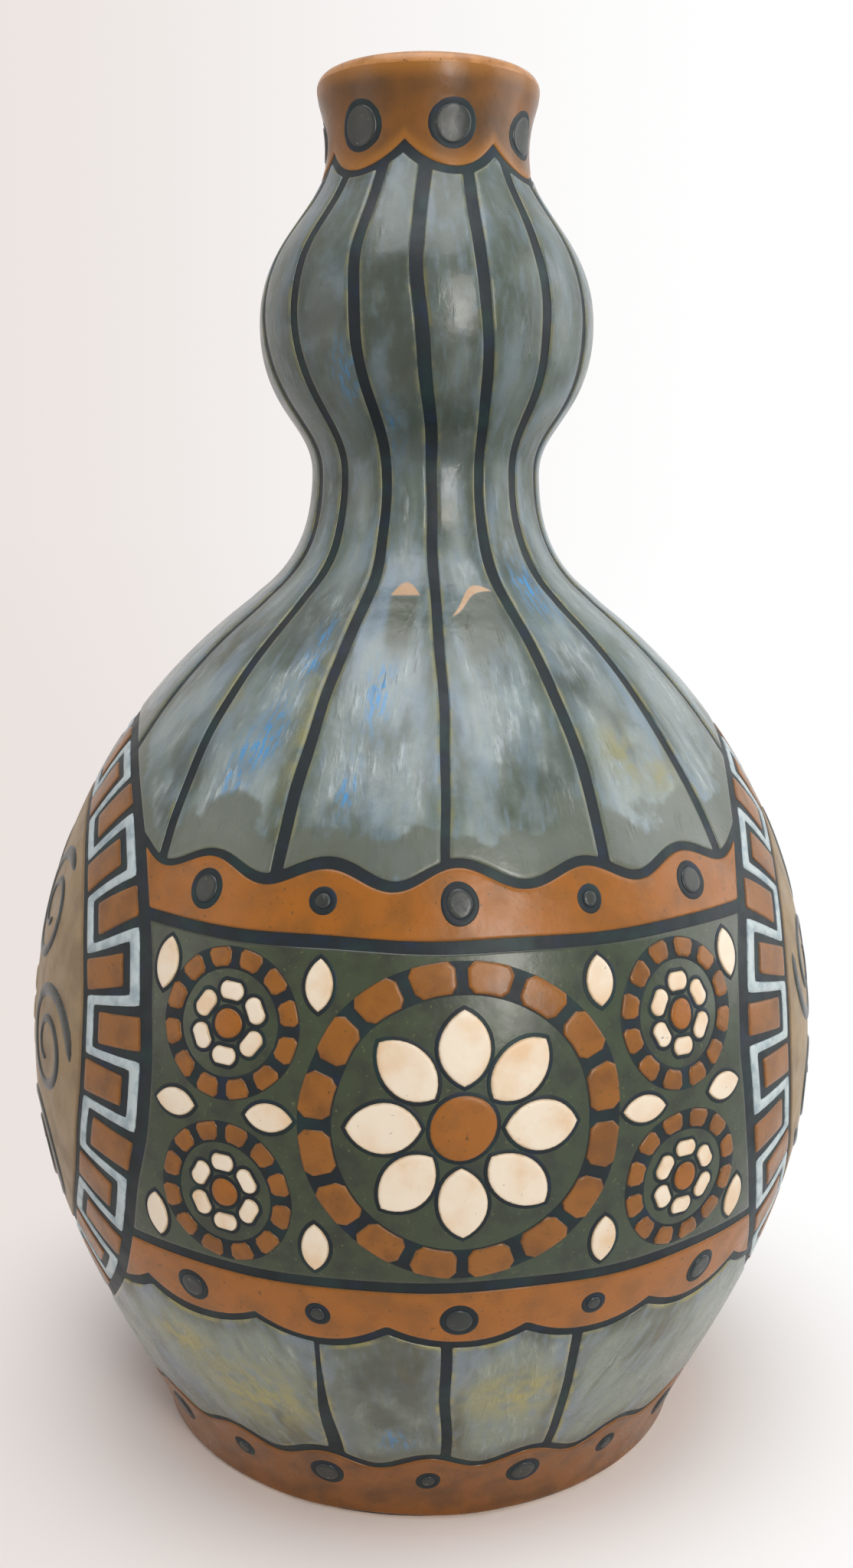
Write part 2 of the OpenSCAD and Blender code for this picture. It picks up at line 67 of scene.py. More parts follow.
# Stands in for zero where a number is divided by, or is told from zero.
TINY = 1e-6
# Edges whose faces meet at more than this angle stay sharp.
SHARP_ANGLE = 62.0
Array = np.ndarray
Curve = Callable[[Array], Array]
Pair = tuple[float, float]
Triple = tuple[float, float, float]
Spots = tuple[tuple[float, float, float, float], ...]
Tree = bpy.types.NodeTree
Socket = bpy.types.NodeSocket


def linear(code: str) -> tuple[float, float, float, float]:
    """Turns an sRGB hex value to linear, by the curve of the sRGB standard.

    Args:
        code: The colour, such as "#b8701f".

    Returns:
        Red, green, blue and an alpha of 1.
    """
    parts = [int(code[i : i + 2], 16) / 255 for i in (1, 3, 5)]
    r, g, b = (c / 12.92 if c <= 0.04045 else ((c + 0.055) / 1.055) ** 2.4 for c in parts)
    return r, g, b, 1.0


def add_node(tree: Tree, kind: str, inputs: dict | None = None, **settings: object) -> bpy.types.Node:
    """Adds a node with its settings, and sets or links its inputs.

    Args:
        tree: The node tree.
        kind: The node's type without its ShaderNode prefix.
        inputs: A value, or the output to link, for each socket's name or index.
        **settings: The node's own settings.

    Returns:
        The new node.
    """
    node = tree.nodes.new("ShaderNode" + kind)
    for name, value in settings.items():
        setattr(node, name, value)
    for key, value in (inputs or {}).items():
        if isinstance(value, Socket):
            tree.links.new(value, node.inputs[key])
        else:
            node.inputs[key].default_value = value
    return node


def turn_from(az: Array | float, start: float) -> Array | float:
    """Turn in degrees from one azimuth to another, the short way round."""
    return (az - start + HALF_TURN) % FULL_TURN - HALF_TURN


def per_mm(size: float) -> float:
    """Scale of a texture in metres whose features are this many millimetres across."""
    return 1 / (size * MM)


# A distance at which no edge or run of glaze is near.
FAR = 99.0
# The values that a mesh carries for its glaze, where nothing else is said.
NO_MARKS = dict.fromkeys(("edge", "low", "rise", "off"), FAR)
NO_MARKS |= dict.fromkeys(("tongue", "blue", "moss", "dim"), 0.0)


# The finishes.


@dataclass(frozen=True)
class Finish:
    """A fired surface: what the glazes, the slip and the clay have in common.

    The pits are a fired glaze's orange peel, drawn coarser than it is so that it shows, and the
    waves are the slow unevenness of a hand-thrown wall.
    """

    name: str
    roughness: float = 0.3
    ior: float = 1.5
    coat: float = 0.0
    coat_roughness: float = 0.12
    pit_mm: float = 1.6
    pit_depth: float = 0.05
    wave_mm: float = 7.0
    wave_depth: float = 0.12
    matt_mm: float = 6.0
    gloss_gain: float = 0.05
    gloss_loss: float = 0.08
    ragged_mm: float = 1.8
    ragged_share: float = 0.5

    def colour(self, tree: Tree) -> Socket:
        """Adds the nodes of the colour; each finish has its own."""
        raise NotImplementedError

    def relief(self, tree: Tree) -> Socket:
        """Adds the nodes of the fine relief.

        Args:
            tree: The node tree.

        Returns:
            Output of the relief's height.
        """
        place = add_node(tree, "TexCoord").outputs["Object"]
        scale = per_mm(self.pit_mm)
        setting = {"Vector": place, "Scale": scale, "Detail": 3.0}
        return add_node(tree, "TexNoise", setting).outputs[0]

    def edge(self, tree: Tree, near: float, far: float) -> Socket:
        """Adds a mask that falls from 1 at a pad's edge to 0 inside it.

        Args:
            tree: The node tree.
            near: Distance from the edge up to which the mask is 1.
            far: Distance at which it reaches 0.

        Returns:
            The mask's output.
        """
        place = add_node(tree, "Attribute", attribute_name="edge")
        spot = add_node(tree, "TexCoord").outputs["Object"]
        scale = per_mm(self.ragged_mm)
        ragged = add_node(tree, "TexNoise", {"Vector": spot, "Scale": scale, "Detail": 3.0})
        sum_of = {0: ragged.outputs[0], 1: self.ragged_share, 2: place.outputs["Fac"]}
        shift = add_node(tree, "Math", sum_of, operation="MULTIPLY_ADD")
        mean = self.ragged_share / 2
        span = {0: shift.outputs[0], 1: near + mean, 2: far + mean, 3: 1.0, 4: 0.0}
        return add_node(tree, "MapRange", span, **SMOOTH).outputs[0]

    def blot(
        self,
        tree: Tree,
        size: float,
        low: float,
        high: float,
        detail: float = 3.0,
        seed: float = 0.0,
        vector: Socket | None = None,
    ) -> Socket:
        """Adds a soft mask of cloudy patches.

        Args:
            tree: The node tree.
            size: Width of a patch.
            low: Noise at which a patch starts.
            high: Noise at which it is full.
            detail: Number of finer layers.
            seed: Place of the slice through the noise.
            vector: Output that gives the place, or None for the object's own space.

        Returns:
            The mask's output.
        """
        if vector is None:
            vector = add_node(tree, "TexCoord").outputs["Object"]
        setting = {"Vector": vector, "W": seed, "Scale": per_mm(size), "Detail": detail}
        noise = add_node(tree, "TexNoise", setting, noise_dimensions="4D")
        span = {0: noise.outputs[0], 1: low, 2: high}
        return add_node(tree, "MapRange", span, **SMOOTH).outputs[0]

    def times(self, tree: Tree, *factors: Socket | float) -> Socket:
        """Multiplies masks and numbers.

        Args:
            tree: The node tree.
            *factors: The masks and numbers.

        Returns:
            The product's output.
        """
        product = factors[0]
        for factor in factors[1:]:
            step = add_node(tree, "Math", {0: product, 1: factor}, operation="MULTIPLY")
            product = step.outputs[0]
        return product

    def layer(self, tree: Tree, under: Socket | str, over: str, *masks: Socket | float) -> Socket:
        """Lays a colour over another where all of its masks let it show.

        Args:
            tree: The node tree.
            under: The lower colour, or its output.
            over: The upper colour.
            *masks: The masks and numbers that say how much of it shows.

        Returns:
            The colour's output.
        """
        base = linear(under) if isinstance(under, str) else under
        shown = self.times(tree, *masks)
        colours = {0: shown, UNDER: base, OVER: linear(over)}
        return add_node(tree, "Mix", colours, data_type="RGBA").outputs[MIXED]

    def material(self) -> bpy.types.Material:
        """Makes the finish's material, once.

        Returns:
            The material.
        """
        found = bpy.data.materials.get(self.name)
        if found:
            return found
        material = bpy.data.materials.new(self.name)
        material.use_nodes = True
        tree = material.node_tree
        tree.nodes.clear()
        place = add_node(tree, "TexCoord").outputs["Object"]
        scale = per_mm(self.wave_mm)
        waves = add_node(tree, "TexNoise", {"Vector": place, "Scale": scale, "Detail": 2.0})
        depth = self.pit_depth * MM
        relief = {"Height": self.relief(tree), "Strength": 1.0, "Distance": depth}
        fine = add_node(tree, "Bump", relief).outputs[0]
        depth = self.wave_depth * MM
        swell = {"Height": waves.outputs[0], "Strength": 1.0, "Distance": depth, "Normal": fine}
        soft = add_node(tree, "Bump", swell)
        matt = self.blot(tree, size=self.matt_mm, low=0.35, high=0.7, seed=3.0)
        glossy, dull = self.roughness - self.gloss_gain, self.roughness + self.gloss_loss
        rough = add_node(tree, "MapRange", {0: matt, 3: glossy, 4: dull})
        shader = add_node(
            tree,
            "BsdfPrincipled",
            {
                "Base Color": self.colour(tree),
                "Roughness": rough.outputs[0],
                "IOR": self.ior,
                "Coat Weight": self.coat,
                "Coat Roughness": self.coat_roughness,
                "Normal": soft.outputs[0],
            },
        )
        add_node(tree, "OutputMaterial", {"Surface": shader.outputs[0]})
        return material


@dataclass(frozen=True)
class ClayFinish(Finish):
    """Bare fired stoneware: a sandy buff with grog and iron specks, matt and dry to the eye."""

    body: str = "#b79a7c"
    grog: str = "#8a6a4c"
    iron: str = "#4a3324"

    def colour(self, tree: Tree) -> Socket:
        """Adds the nodes of the colour.

        Args:
            tree: The node tree.

        Returns:
            The colour's output.
        """
        grog = self.blot(tree, size=2.0, low=0.4, high=0.7)
        iron = self.blot(tree, size=0.8, low=0.66, high=0.72, detail=1.0, seed=5.0)
        clay = self.layer(tree, self.body, self.grog, grog)
        return self.layer(tree, clay, self.iron, iron)


@dataclass(frozen=True)
class SlipFinish(Finish):
    """Dark slip fired under a thin clear glaze: blue-black lines that turn teal where it pools."""

    body: str = "#08151a"
    teal: str = "#0f2828"
    blue: str = "#0b1c2f"

    def colour(self, tree: Tree) -> Socket:
        """Adds the nodes of the colour.

        Args:
            tree: The node tree.

        Returns:
            The colour's output.
        """
        pools = self.blot(tree, size=9.0, low=0.45, high=0.7)
        hints = self.blot(tree, size=5.0, low=0.52, high=0.72, seed=8.0)
        slip = self.layer(tree, self.body, self.teal, pools)
        return self.layer(tree, slip, self.blue, hints)


@dataclass(frozen=True)
class MottledGlaze(Finish):
    """Opaque iron or tin glaze, brushed on thick: cloudy patches, fine specks and a thinner rim."""

    body: str = "#b8701f"
    cloud: str = "#8f5210"
    cloud_mm: float = 5.0
    cloud_low: float = 0.42
    cloud_high: float = 0.68
    speck: str = "#5a3410"
    speck_mm: float = 0.7
    speck_low: float = 0.6
    speck_span: float = 0.1
    rim: str = "#7a4a18"
    rim_mm: float = 0.7

    def colour(self, tree: Tree) -> Socket:
        """Adds the nodes of the colour.

        Args:
            tree: The node tree.

        Returns:
            The colour's output.
        """
        clouds = self.blot(tree, size=self.cloud_mm, low=self.cloud_low, high=self.cloud_high, detail=4.0)
        full = self.speck_low + self.speck_span
        specks = self.blot(tree, size=self.speck_mm, low=self.speck_low, high=full, detail=1.0, seed=11.0)
        glaze = self.layer(tree, self.body, self.cloud, clouds)
        glaze = self.layer(tree, glaze, self.speck, specks)
        return self.layer(tree, glaze, self.rim, self.edge(tree, 0.0, self.rim_mm))


@dataclass(frozen=True)
class LustreGlaze(Finish):
    """Running wood-ash glaze: soft clouds of blue-grey and olive, darker where it thins at a line.

    On the shoulder its middle is pale: a milky glaze, made paler by a painted sheen of the light
    from above, which the upturned shoulder catches. It has fine upright wrinkles where the glaze
    crept, and a few streaks of clear blue. Along the dark lines it breaks to a mossy yellow. Over
    the bulb a painted shade darkens it.
    """

    body: str = "#55645c"
    olive: str = "#404a3c"
    # The pale of the milky middle, which also stands for a painted sheen of the light on the shoulder.
    milk_and_sheen: str = "#8c9896"
    mist: str = "#6a7d88"
    moss: str = "#77764a"
    shade: str = "#3c4542"
    wrinkle: str = "#c0cbcc"
    fleck: str = "#3488c0"
    haze: str = "#6b8aa4"
    # Dark tone of the listed darker patches, and of the painted shade over the bulb.
    dim: str = "#2f3a2f"
    pool: str = "#555c50"
    bare: str = "#bb9a78"
    wide_mm: float = 15.0
    # Where the milky pale and its painted sheen show: full below milk_full, least above milk_from, away
    # from lines.
    milk_from: float = 222.0
    milk_full: float = 198.0
    milk_least: float = 0.38
    milk_near: float = 0.8
    milk_far: float = 5.0
    # Share of the dark tone laid over the whole bulb as painted shade.
    bulb_shade_share: float = 0.32
    pool_mm: float = 15.0
    pool_edge: float = 3.0
    streak_turn: float = -38.0
    streak_squeeze: float = 0.3
    upright_squeeze: float = 0.35
    ridge_height: float = 4.0

    def chart(self, tree: Tree, turn: float = 0.0, squeeze: float = 1.0) -> Socket:
        """Adds a place on the unrolled wall, drawn out along its upright and then turned.

        The turn comes last, so it only picks another part of a noise and doesn't slant it.

        Args:
            tree: The node tree.
            turn: The turn in degrees.
            squeeze: Scale along the upright; a small one draws a pattern out.

        Returns:
            The place's output.
        """
        flat = add_node(tree, "Attribute", attribute_name="chart").outputs["Vector"]
        rotation = (0.0, 0.0, math.radians(turn))
        setting = {"Vector": flat, "Rotation": rotation, "Scale": (1.0, squeeze, 1.0)}
        return add_node(tree, "Mapping", setting).outputs[0]

    def lower(self, tree: Tree, least: float) -> Socket:
        """Adds a mask that is full on the shoulder.

        Args:
            tree: The node tree.
            least: Its value on the bulb.

        Returns:
            The mask's output.
        """
        height = add_node(tree, "SeparateXYZ", {0: self.chart(tree)}).outputs["Y"]
        span = {0: height, 1: self.milk_from * MM, 2: self.milk_full * MM, 3: least}
        return add_node(tree, "MapRange", span, **SMOOTH).outputs[0]

    def milk_and_sheen_mask(self, tree: Tree) -> Socket:
        """Adds the mask of the pale middle, full on the shoulder: milky glaze with a painted sheen on it.

        Args:
            tree: The node tree.

        Returns:
            The mask's output.
        """
        edge = add_node(tree, "Attribute", attribute_name="edge").outputs["Fac"]
        span = {0: edge, 1: self.milk_near, 2: self.milk_far}
        inside = add_node(tree, "MapRange", span, **SMOOTH).outputs[0]
        patches = self.blot(
            tree, size=self.wide_mm, low=0.36, high=0.56, detail=5.0, seed=4.0, vector=self.chart(tree)
        )
        return self.times(tree, self.lower(tree, self.milk_least), inside, patches)

    def wrinkles(self, tree: Tree) -> Socket:
        """Adds the mask of the fine upright wrinkles.

        Args:
            tree: The node tree.

        Returns:
            The mask's output.
        """
        drawn = self.chart(tree, self.streak_turn, self.streak_squeeze)
        threads = self.blot(tree, size=1.6, low=0.46, high=0.74, detail=4.0, seed=13.0, vector=drawn)
        patches = self.blot(tree, size=self.wide_mm * 0.7, low=0.44, high=0.62, detail=2.0, seed=14.0)
        return self.times(tree, threads, patches)

    def relief(self, tree: Tree) -> Socket:
        """Adds the nodes of the fine relief.

        Args:
            tree: The node tree.

        Returns:
            Output of the relief's height.
        """
        pits = super().relief(tree)
        ridges = self.times(tree, self.wrinkles(tree), self.milk_and_sheen_mask(tree), self.ridge_height)
        heights = {0: pits, 1: 0.5, 2: ridges}
        return add_node(tree, "Math", heights, operation="MULTIPLY_ADD").outputs[0]

    def colour(self, tree: Tree) -> Socket:
        """Adds the nodes of the colour.

        Args:
            tree: The node tree.

        Returns:
            The colour's output.
        """
        glaze = self.clouds(tree)
        glaze = self.streaks(tree, glaze)
        glaze = self.stains(tree, glaze)
        glaze = self.thin_places(tree, glaze)
        return self.drip(tree, glaze)

    def clouds(self, tree: Tree) -> Socket:
        """Adds the soft clouds of olive and mist, and the pale middle that is partly a painted sheen.

        Args:
            tree: The node tree.

        Returns:
            The colour's output.
        """
        upright = self.chart(tree, 0.0, self.upright_squeeze)
        olive = self.blot(
            tree, size=self.wide_mm, low=0.42, high=0.6, detail=4.0, seed=1.0, vector=self.chart(tree)
        )
        mist = self.blot(tree, size=7.0, low=0.46, high=0.66, detail=4.0, seed=6.0, vector=upright)
        glaze = self.layer(tree, self.body, self.olive, olive)
        glaze = self.layer(tree, glaze, self.mist, mist)
        # Milky pale, partly a painted sheen of the light from above on the upturned shoulder.
        return self.layer(tree, glaze, self.milk_and_sheen, self.milk_and_sheen_mask(tree), 0.8)

    def streaks(self, tree: Tree, glaze: Socket) -> Socket:
        """Adds the upright grain and the pale wrinkles.

        Args:
            tree: The node tree.
            glaze: Output of the colour under them.

        Returns:
            The colour's output.
        """
        drawn = self.chart(tree, self.streak_turn, self.streak_squeeze)
        grain = self.blot(tree, size=3.0, low=0.46, high=0.72, detail=4.0, seed=9.0, vector=drawn)
        fine = self.blot(tree, size=1.6, low=0.46, high=0.7, detail=4.0, seed=51.0, vector=drawn)
        glaze = self.layer(tree, glaze, self.shade, grain, 0.5)
        glaze = self.layer(tree, glaze, self.mist, fine, 0.6)
        wrinkles = self.wrinkles(tree)
        return self.layer(tree, glaze, self.wrinkle, wrinkles, self.milk_and_sheen_mask(tree), 0.75)

    def stains(self, tree: Tree, glaze: Socket) -> Socket:
        """Adds the blue streaks, the darker patches and the moss at their listed places.

        Args:
            tree: The node tree.
            glaze: Output of the colour under them.

        Returns:
            The colour's output.
        """
        blue, dim, moss = (
            add_node(tree, "Attribute", attribute_name=name).outputs["Fac"]
            for name in ("blue", "dim", "moss")
        )
        place, drawn = self.chart(tree), self.chart(tree, self.streak_turn, self.streak_squeeze)
        flecks = self.blot(tree, size=1.0, low=0.5, high=0.56, seed=21.0, vector=drawn)
        dark_patches = self.blot(tree, size=6.0, low=0.2, high=0.6, detail=4.0, seed=27.0, vector=place)
        tufts = self.blot(tree, size=3.0, low=0.3, high=0.6, seed=23.0, vector=place)
        glaze = self.layer(tree, glaze, self.haze, blue, 0.4)
        glaze = self.layer(tree, glaze, self.fleck, flecks, blue)
        glaze = self.layer(tree, glaze, self.dim, dark_patches, dim, 0.85)
        return self.layer(tree, glaze, self.moss, tufts, moss)

    def thin_places(self, tree: Tree, glaze: Socket) -> Socket:
        """Adds the mossy rims, the smooth pool along a field's foot and the painted shade over the bulb.

        Args:
            tree: The node tree.
            glaze: Output of the colour under them.

        Returns:
            The colour's output.
        """
        patchy = self.blot(tree, size=5.0, low=0.4, high=0.62, seed=31.0)
        glaze = self.layer(tree, glaze, self.moss, patchy, self.edge(tree, 0.1, 1.3), 0.75)
        ragged = self.blot(tree, size=self.wide_mm, low=0.3, high=0.7, detail=5.0, seed=41.0)
        low = add_node(tree, "Attribute", attribute_name="low").outputs["Fac"]
        height = {0: ragged, 1: self.pool_mm, 2: low}
        depth = add_node(tree, "Math", height, operation="MULTIPLY_ADD").outputs[0]
        span = {0: depth, 1: self.pool_mm, 2: self.pool_mm - self.pool_edge}
        pool = add_node(tree, "MapRange", span, **SMOOTH).outputs[0]
        glaze = self.layer(tree, glaze, self.pool, pool, 0.85)
        # Painted shade: the bulb, above the shoulder, darkened all over.
        lower = self.lower(tree, 0.0)
        upper = add_node(tree, "Math", {0: 1.0, 1: lower}, operation="SUBTRACT").outputs[0]
        return self.layer(tree, glaze, self.dim, upper, self.bulb_shade_share)

    def drip(self, tree: Tree, glaze: Socket) -> Socket:
        """Adds the smooth tongues of two thick runs and their pale crests.

        A crest lies between its lower line, where the rise is 0, and an arch over it.

        Args:
            tree: The node tree.
            glaze: Output of the colour under them.

        Returns:
            The colour's output.
        """
        rise, off, tongue = (
            add_node(tree, "Attribute", attribute_name=name).outputs["Fac"]
            for name in ("rise", "off", "tongue")
        )
        square = self.times(tree, off, off)
        arch = add_node(tree, "Math", {0: 1.0, 1: square}, operation="SUBTRACT").outputs[0]
        room = add_node(tree, "Math", {0: arch, 1: rise}, operation="SUBTRACT").outputs[0]
        under, over_line, under_arch = (
            add_node(tree, "MapRange", {0: value, 1: start, 2: end}, **SMOOTH).outputs[0]
            for value, start, end in ((rise, 0.1, -0.2), (rise, -0.05, 0.12), (room, -0.1, 0.15))
        )
        glaze = self.layer(tree, glaze, self.pool, tongue, under)
        return self.layer(tree, glaze, self.bare, over_line, under_arch)


# Dark clay slip, painted over the whole pot: satin lines where it shows between the glazes.
SLIP = SlipFinish("blue_black_slip", roughness=0.5, ior=1.38)
# Stoneware clay, turned and left bare under the foot: dry and sandy.
CLAY = ClayFinish("fired_stoneware", roughness=0.75, pit_mm=0.8, pit_depth=0.08)
# Iron liner glaze, poured in and out again: the brown gloss deep in the mouth.
LINER = MottledGlaze(
    "brown_liner_glaze",
    body="#3a2a1e",
    cloud="#55402c",
    speck="#1d1510",
    rim="#3a2a1e",
)
# Iron-bearing ochre glaze, brushed on: an orange-brown satin with darker clouds.
OCHRE = MottledGlaze(
    "ochre_iron_glaze",
    ior=1.45,
    body="#92560a",
    cloud="#7d4c0e",
    cloud_mm=6.0,
    cloud_low=0.38,
    cloud_high=0.72,
    speck="#61400f",
    speck_mm=0.8,
    speck_low=0.65,
    rim="#75490f",
    rim_mm=0.5,
)
# The same glaze in small dabs, thinner and so browner.
BLOCK_OCHRE = replace(OCHRE, name="block_ochre_glaze", body="#875312", cloud="#6d4210", rim="#5c3a12")
# The same glaze round the foot, a deeper brown: a painted shade, as the foot faces down and away from the
# light above.
SHADED_FOOT_OCHRE = replace(OCHRE, name="shaded_foot_ochre_glaze", body="#7c490d", cloud="#5c370d", speck_low=0.64)
# The same glaze round the collar, darker: wide brown clouds, deepened by a painted shade on the
# narrow neck, and a paler rim along the band's edges that is a painted highlight of the lip's lit top.
COLLAR_OCHRE = replace(
    OCHRE,
    name="collar_ochre_glaze",
    body="#7a4b0f",
    cloud="#4f330f",
    cloud_mm=13.0,
    cloud_low=0.34,
    cloud_high=0.7,
    # Paler rim: a painted highlight along both edges of the band, for the lip's lit top.
    rim="#8e5c1c",
    rim_mm=3.6,
)
# The same glaze over the lip: a pale tan, partly where it runs thin and partly a painted highlight on the
# lip's upturned top.
LIT_LIP_OCHRE = replace(
    OCHRE, name="lit_lip_ochre_glaze", body="#b27c46", cloud="#93602c", cloud_mm=4.0, rim="#b27c46"
)
# Wood-ash glaze, run down the neck and shoulder: glossy, clouded and milky where it is thick. Its pale
# middle is partly a painted sheen on the shoulder, and a painted shade darkens the bulb.
LUSTRE = LustreGlaze("ash_glaze", roughness=0.28, coat=0.12, pit_depth=0.1, wave_depth=0.22)
# The same ash glaze under the belly, greener and mossier.
SKIRT = replace(
    LUSTRE,
    name="skirt_ash_glaze",
    body="#545d50",
    olive="#4b4c38",
    # Milky pale of the skirt, with the same painted sheen in it.
    milk_and_sheen="#788275",
    mist="#6b7880",
    moss="#938b50",
    shade="#434b40",
    dim="#3c4238",
    pool="#55594a",
    pool_mm=5.0,
    wrinkle="#9da598",
    # No painted shade over a bulb on the skirt.
    bulb_shade_share=0.0,
)
# Dark green glaze, brushed on as the panels' ground: nearly black, with olive specks.
GREEN = MottledGlaze(
    "dark_green_glaze",
    roughness=0.28,
    coat=0.1,
    body="#2d3a22",
    cloud="#20291b",
    speck="#4c5232",
    speck_low=0.66,
    rim="#20251f",
)
# Tin glaze, dabbed on thick: opaque cream with rusty clouds, brown where it thins at a rim.
CREAM = MottledGlaze(
    "cream_tin_glaze",
    roughness=0.38,
    body="#ded2be",
    cloud="#d3b48e",
    cloud_mm=9.0,
    cloud_low=0.4,
    cloud_high=0.76,
    speck="#8d8a86",
    speck_low=0.72,
    rim="#a8906c",
    rim_mm=0.5,
)
# Tin glaze stained with iron, brushed on as the side fields' ground: a flat, satin tan.
TAN = MottledGlaze(
    "tan_tin_glaze",
    roughness=0.42,
    ior=1.42,
    body="#8f7855",
    cloud="#7a6546",
    cloud_mm=8.0,
    speck="#5f4a34",
    speck_low=0.7,
    rim="#6d5a42",
    rim_mm=0.8,
)
# Pale glaze, laid on in a line for the key border: grey-blue in its clouds.
KEY = MottledGlaze(
    "pale_key_glaze",
    roughness=0.36,
    body="#b0bdbf",
    cloud="#8b9da5",
    cloud_mm=3.0,
    speck="#5f7480",
    speck_low=0.72,
    rim="#6d7c82",
    rim_mm=0.35,
)
# Dark glaze in drops, for the dots and the volutes: near black, with a few paler specks.
DOT = MottledGlaze(
    "dark_dot_glaze",
    roughness=0.33,
    body="#1f2520",
    cloud="#161c1b",
    cloud_mm=2.6,
    speck="#5f6657",
    speck_low=0.66,
    rim="#16242a",
    rim_mm=0.5,
)


# The wall and what lies on it.


@dataclass
class GourdProfile:
    """The outside of the thrown wall, with its stations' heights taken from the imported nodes.

    A share is the reach of a curve's handle out of its leg's rise. Of two, the first lies below
    the station and the other above it.
    """

    foot_r: float = 61.0
    foot_lean: float = 7.0
    belly_r: float = 89.5
    turn_r: float = 38.5
    turn_rise: float = 102.0
    turn_lean: float = 45.0
    waist_r: float = 25.0
    bulb_r: float = 36.25
    bulb_rise: float = 31.0
    throat_r: float = 21.5
    lip_r: float = 23.5
    lip_round: float = 2.2
    wall: float = 5.0
    foot_share: float = 0.155
    belly_shares: Pair = (0.45, 0.67)
    turn_shares: Pair = (0.05, 0.15)
    waist_shares: Pair = (0.7, 0.33)
    bulb_shares: Pair = (0.58, 0.51)
    throat_shares: Pair = (0.35, 0.6)
    lip_share: float = 0.3
    steps: int = 80

    def __post_init__(self) -> None:
        """Works out the stations and the dense tables of the line."""
        self.belly_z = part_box("shoulder")[0].z / MM
        self.waist_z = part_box("bulb")[0].z / MM
        self.throat_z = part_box("collar")[0].z / MM
        self.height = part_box("collar")[1].z / MM
        self.turn_z = self.belly_z + self.turn_rise
        self.bulb_z = self.waist_z + self.bulb_rise
        self.lip_z = self.height - self.lip_round
        line = self.line()
        slope = np.gradient(line, axis=0)
        slope /= np.linalg.norm(slope, axis=1)[:, None]
        self.z, self.r = line[:, 1], line[:, 0]
        self.nr, self.nz = slope[:, 1], -slope[:, 0]
        self.inner_r = self.r - self.wall * self.nr
        self.inner_z = self.z - self.wall * self.nz

    def line(self) -> Array:
        """Samples the curves between the stations.

        Returns:
            Radius and height of each point, from the foot to the lip.
        """
        foot, belly = np.array((self.foot_r, 0.0)), np.array((self.belly_r, self.belly_z))
        turn, waist = np.array((self.turn_r, self.turn_z)), np.array((self.waist_r, self.waist_z))
        bulb, throat = np.array((self.bulb_r, self.bulb_z)), np.array((self.throat_r, self.throat_z))
        lip = np.array((self.lip_r, self.lip_z))
        up = np.array((0.0, 1.0))
        foot_lean, turn_lean = math.radians(self.foot_lean), math.radians(self.turn_lean)
        foot_way = np.array((math.sin(foot_lean), math.cos(foot_lean)))
        turn_way = np.array((-math.sin(turn_lean), math.cos(turn_lean)))
        legs = (
            (foot, belly, foot_way * self.foot_share, up * self.belly_shares[0]),
            (belly, turn, up * self.belly_shares[1], turn_way * self.turn_shares[0]),
            (turn, waist, turn_way * self.turn_shares[1], up * self.waist_shares[0]),
            (waist, bulb, up * self.waist_shares[1], up * self.bulb_shares[0]),
            (bulb, throat, up * self.bulb_shares[1], up * self.throat_shares[0]),
            (throat, lip, up * self.throat_shares[1], up * self.lip_share),
        )
        t = np.linspace(0, 1, self.steps, endpoint=False)[:, None]
        parts = []
        for start, end, leave, arrive in legs:
            span = end[1] - start[1]
            parts.append(
                (1 - t) ** 3 * start
                + 3 * (1 - t) ** 2 * t * (start + leave * span)
                + 3 * (1 - t) * t**2 * (end - arrive * span)
                + t**3 * end
            )
        return np.concatenate([*parts, lip[None]])

    def radius(self, z: Array | float) -> Array | float:
        """Radius of the outside at a height."""
        return np.interp(z, self.z, self.r)

    def inner(self, z: Array | float) -> Array | float:
        """Radius of the inside at a height."""
        return np.interp(z, self.inner_z, self.inner_r)

    def upright(self, z: Array | float) -> Array | float:
        """Share of a short way along the wall that goes up, at a height."""
        return np.interp(z, self.z, self.nr)

    def place(self, az: Array, z: Array, lift: Array) -> Array:
        """Finds points outside the wall.

        Args:
            az: Azimuths.
            z: Heights on the wall.
            lift: Distances from it.

        Returns:
            The points' x, y and z.
        """
        turn = np.radians(az)
        r = self.radius(z) + lift * self.upright(z)
        up = z + lift * np.interp(z, self.z, self.nz)
        return np.stack([r * np.sin(turn), -r * np.cos(turn), up], -1)


@dataclass(frozen=True)
class HandWobble:
    """The slow wander of lines that were drawn by hand.

    Each wave has a share, its ways along x, y and z, and a phase.
    """

    size: float = 34.0
    reach: float = 0.3
    waves: tuple[tuple[float, Triple, float], ...] = (
        (1.0, (1.0, 0.0, 0.6), 1.0),
        (1.0, (0.0, 0.7, -1.0), 2.1),
        (0.6, (0.76, 0.0, 1.9), 3.7),
    )
    scale: float = 1.8

    def shift(self, points: Array, seed: float) -> Array:
        """Adds up the slanting waves.

        Args:
            points: Places on the wall.
            seed: Phase that tells one wander from another.

        Returns:
            The shift of each place.
        """
        pace = 2 * math.pi / self.size
        total = sum(
            share * np.sin(pace * (points @ np.array(way)) + phase * seed)
            for share, way, phase in self.waves
        )
        return total * self.reach / self.scale


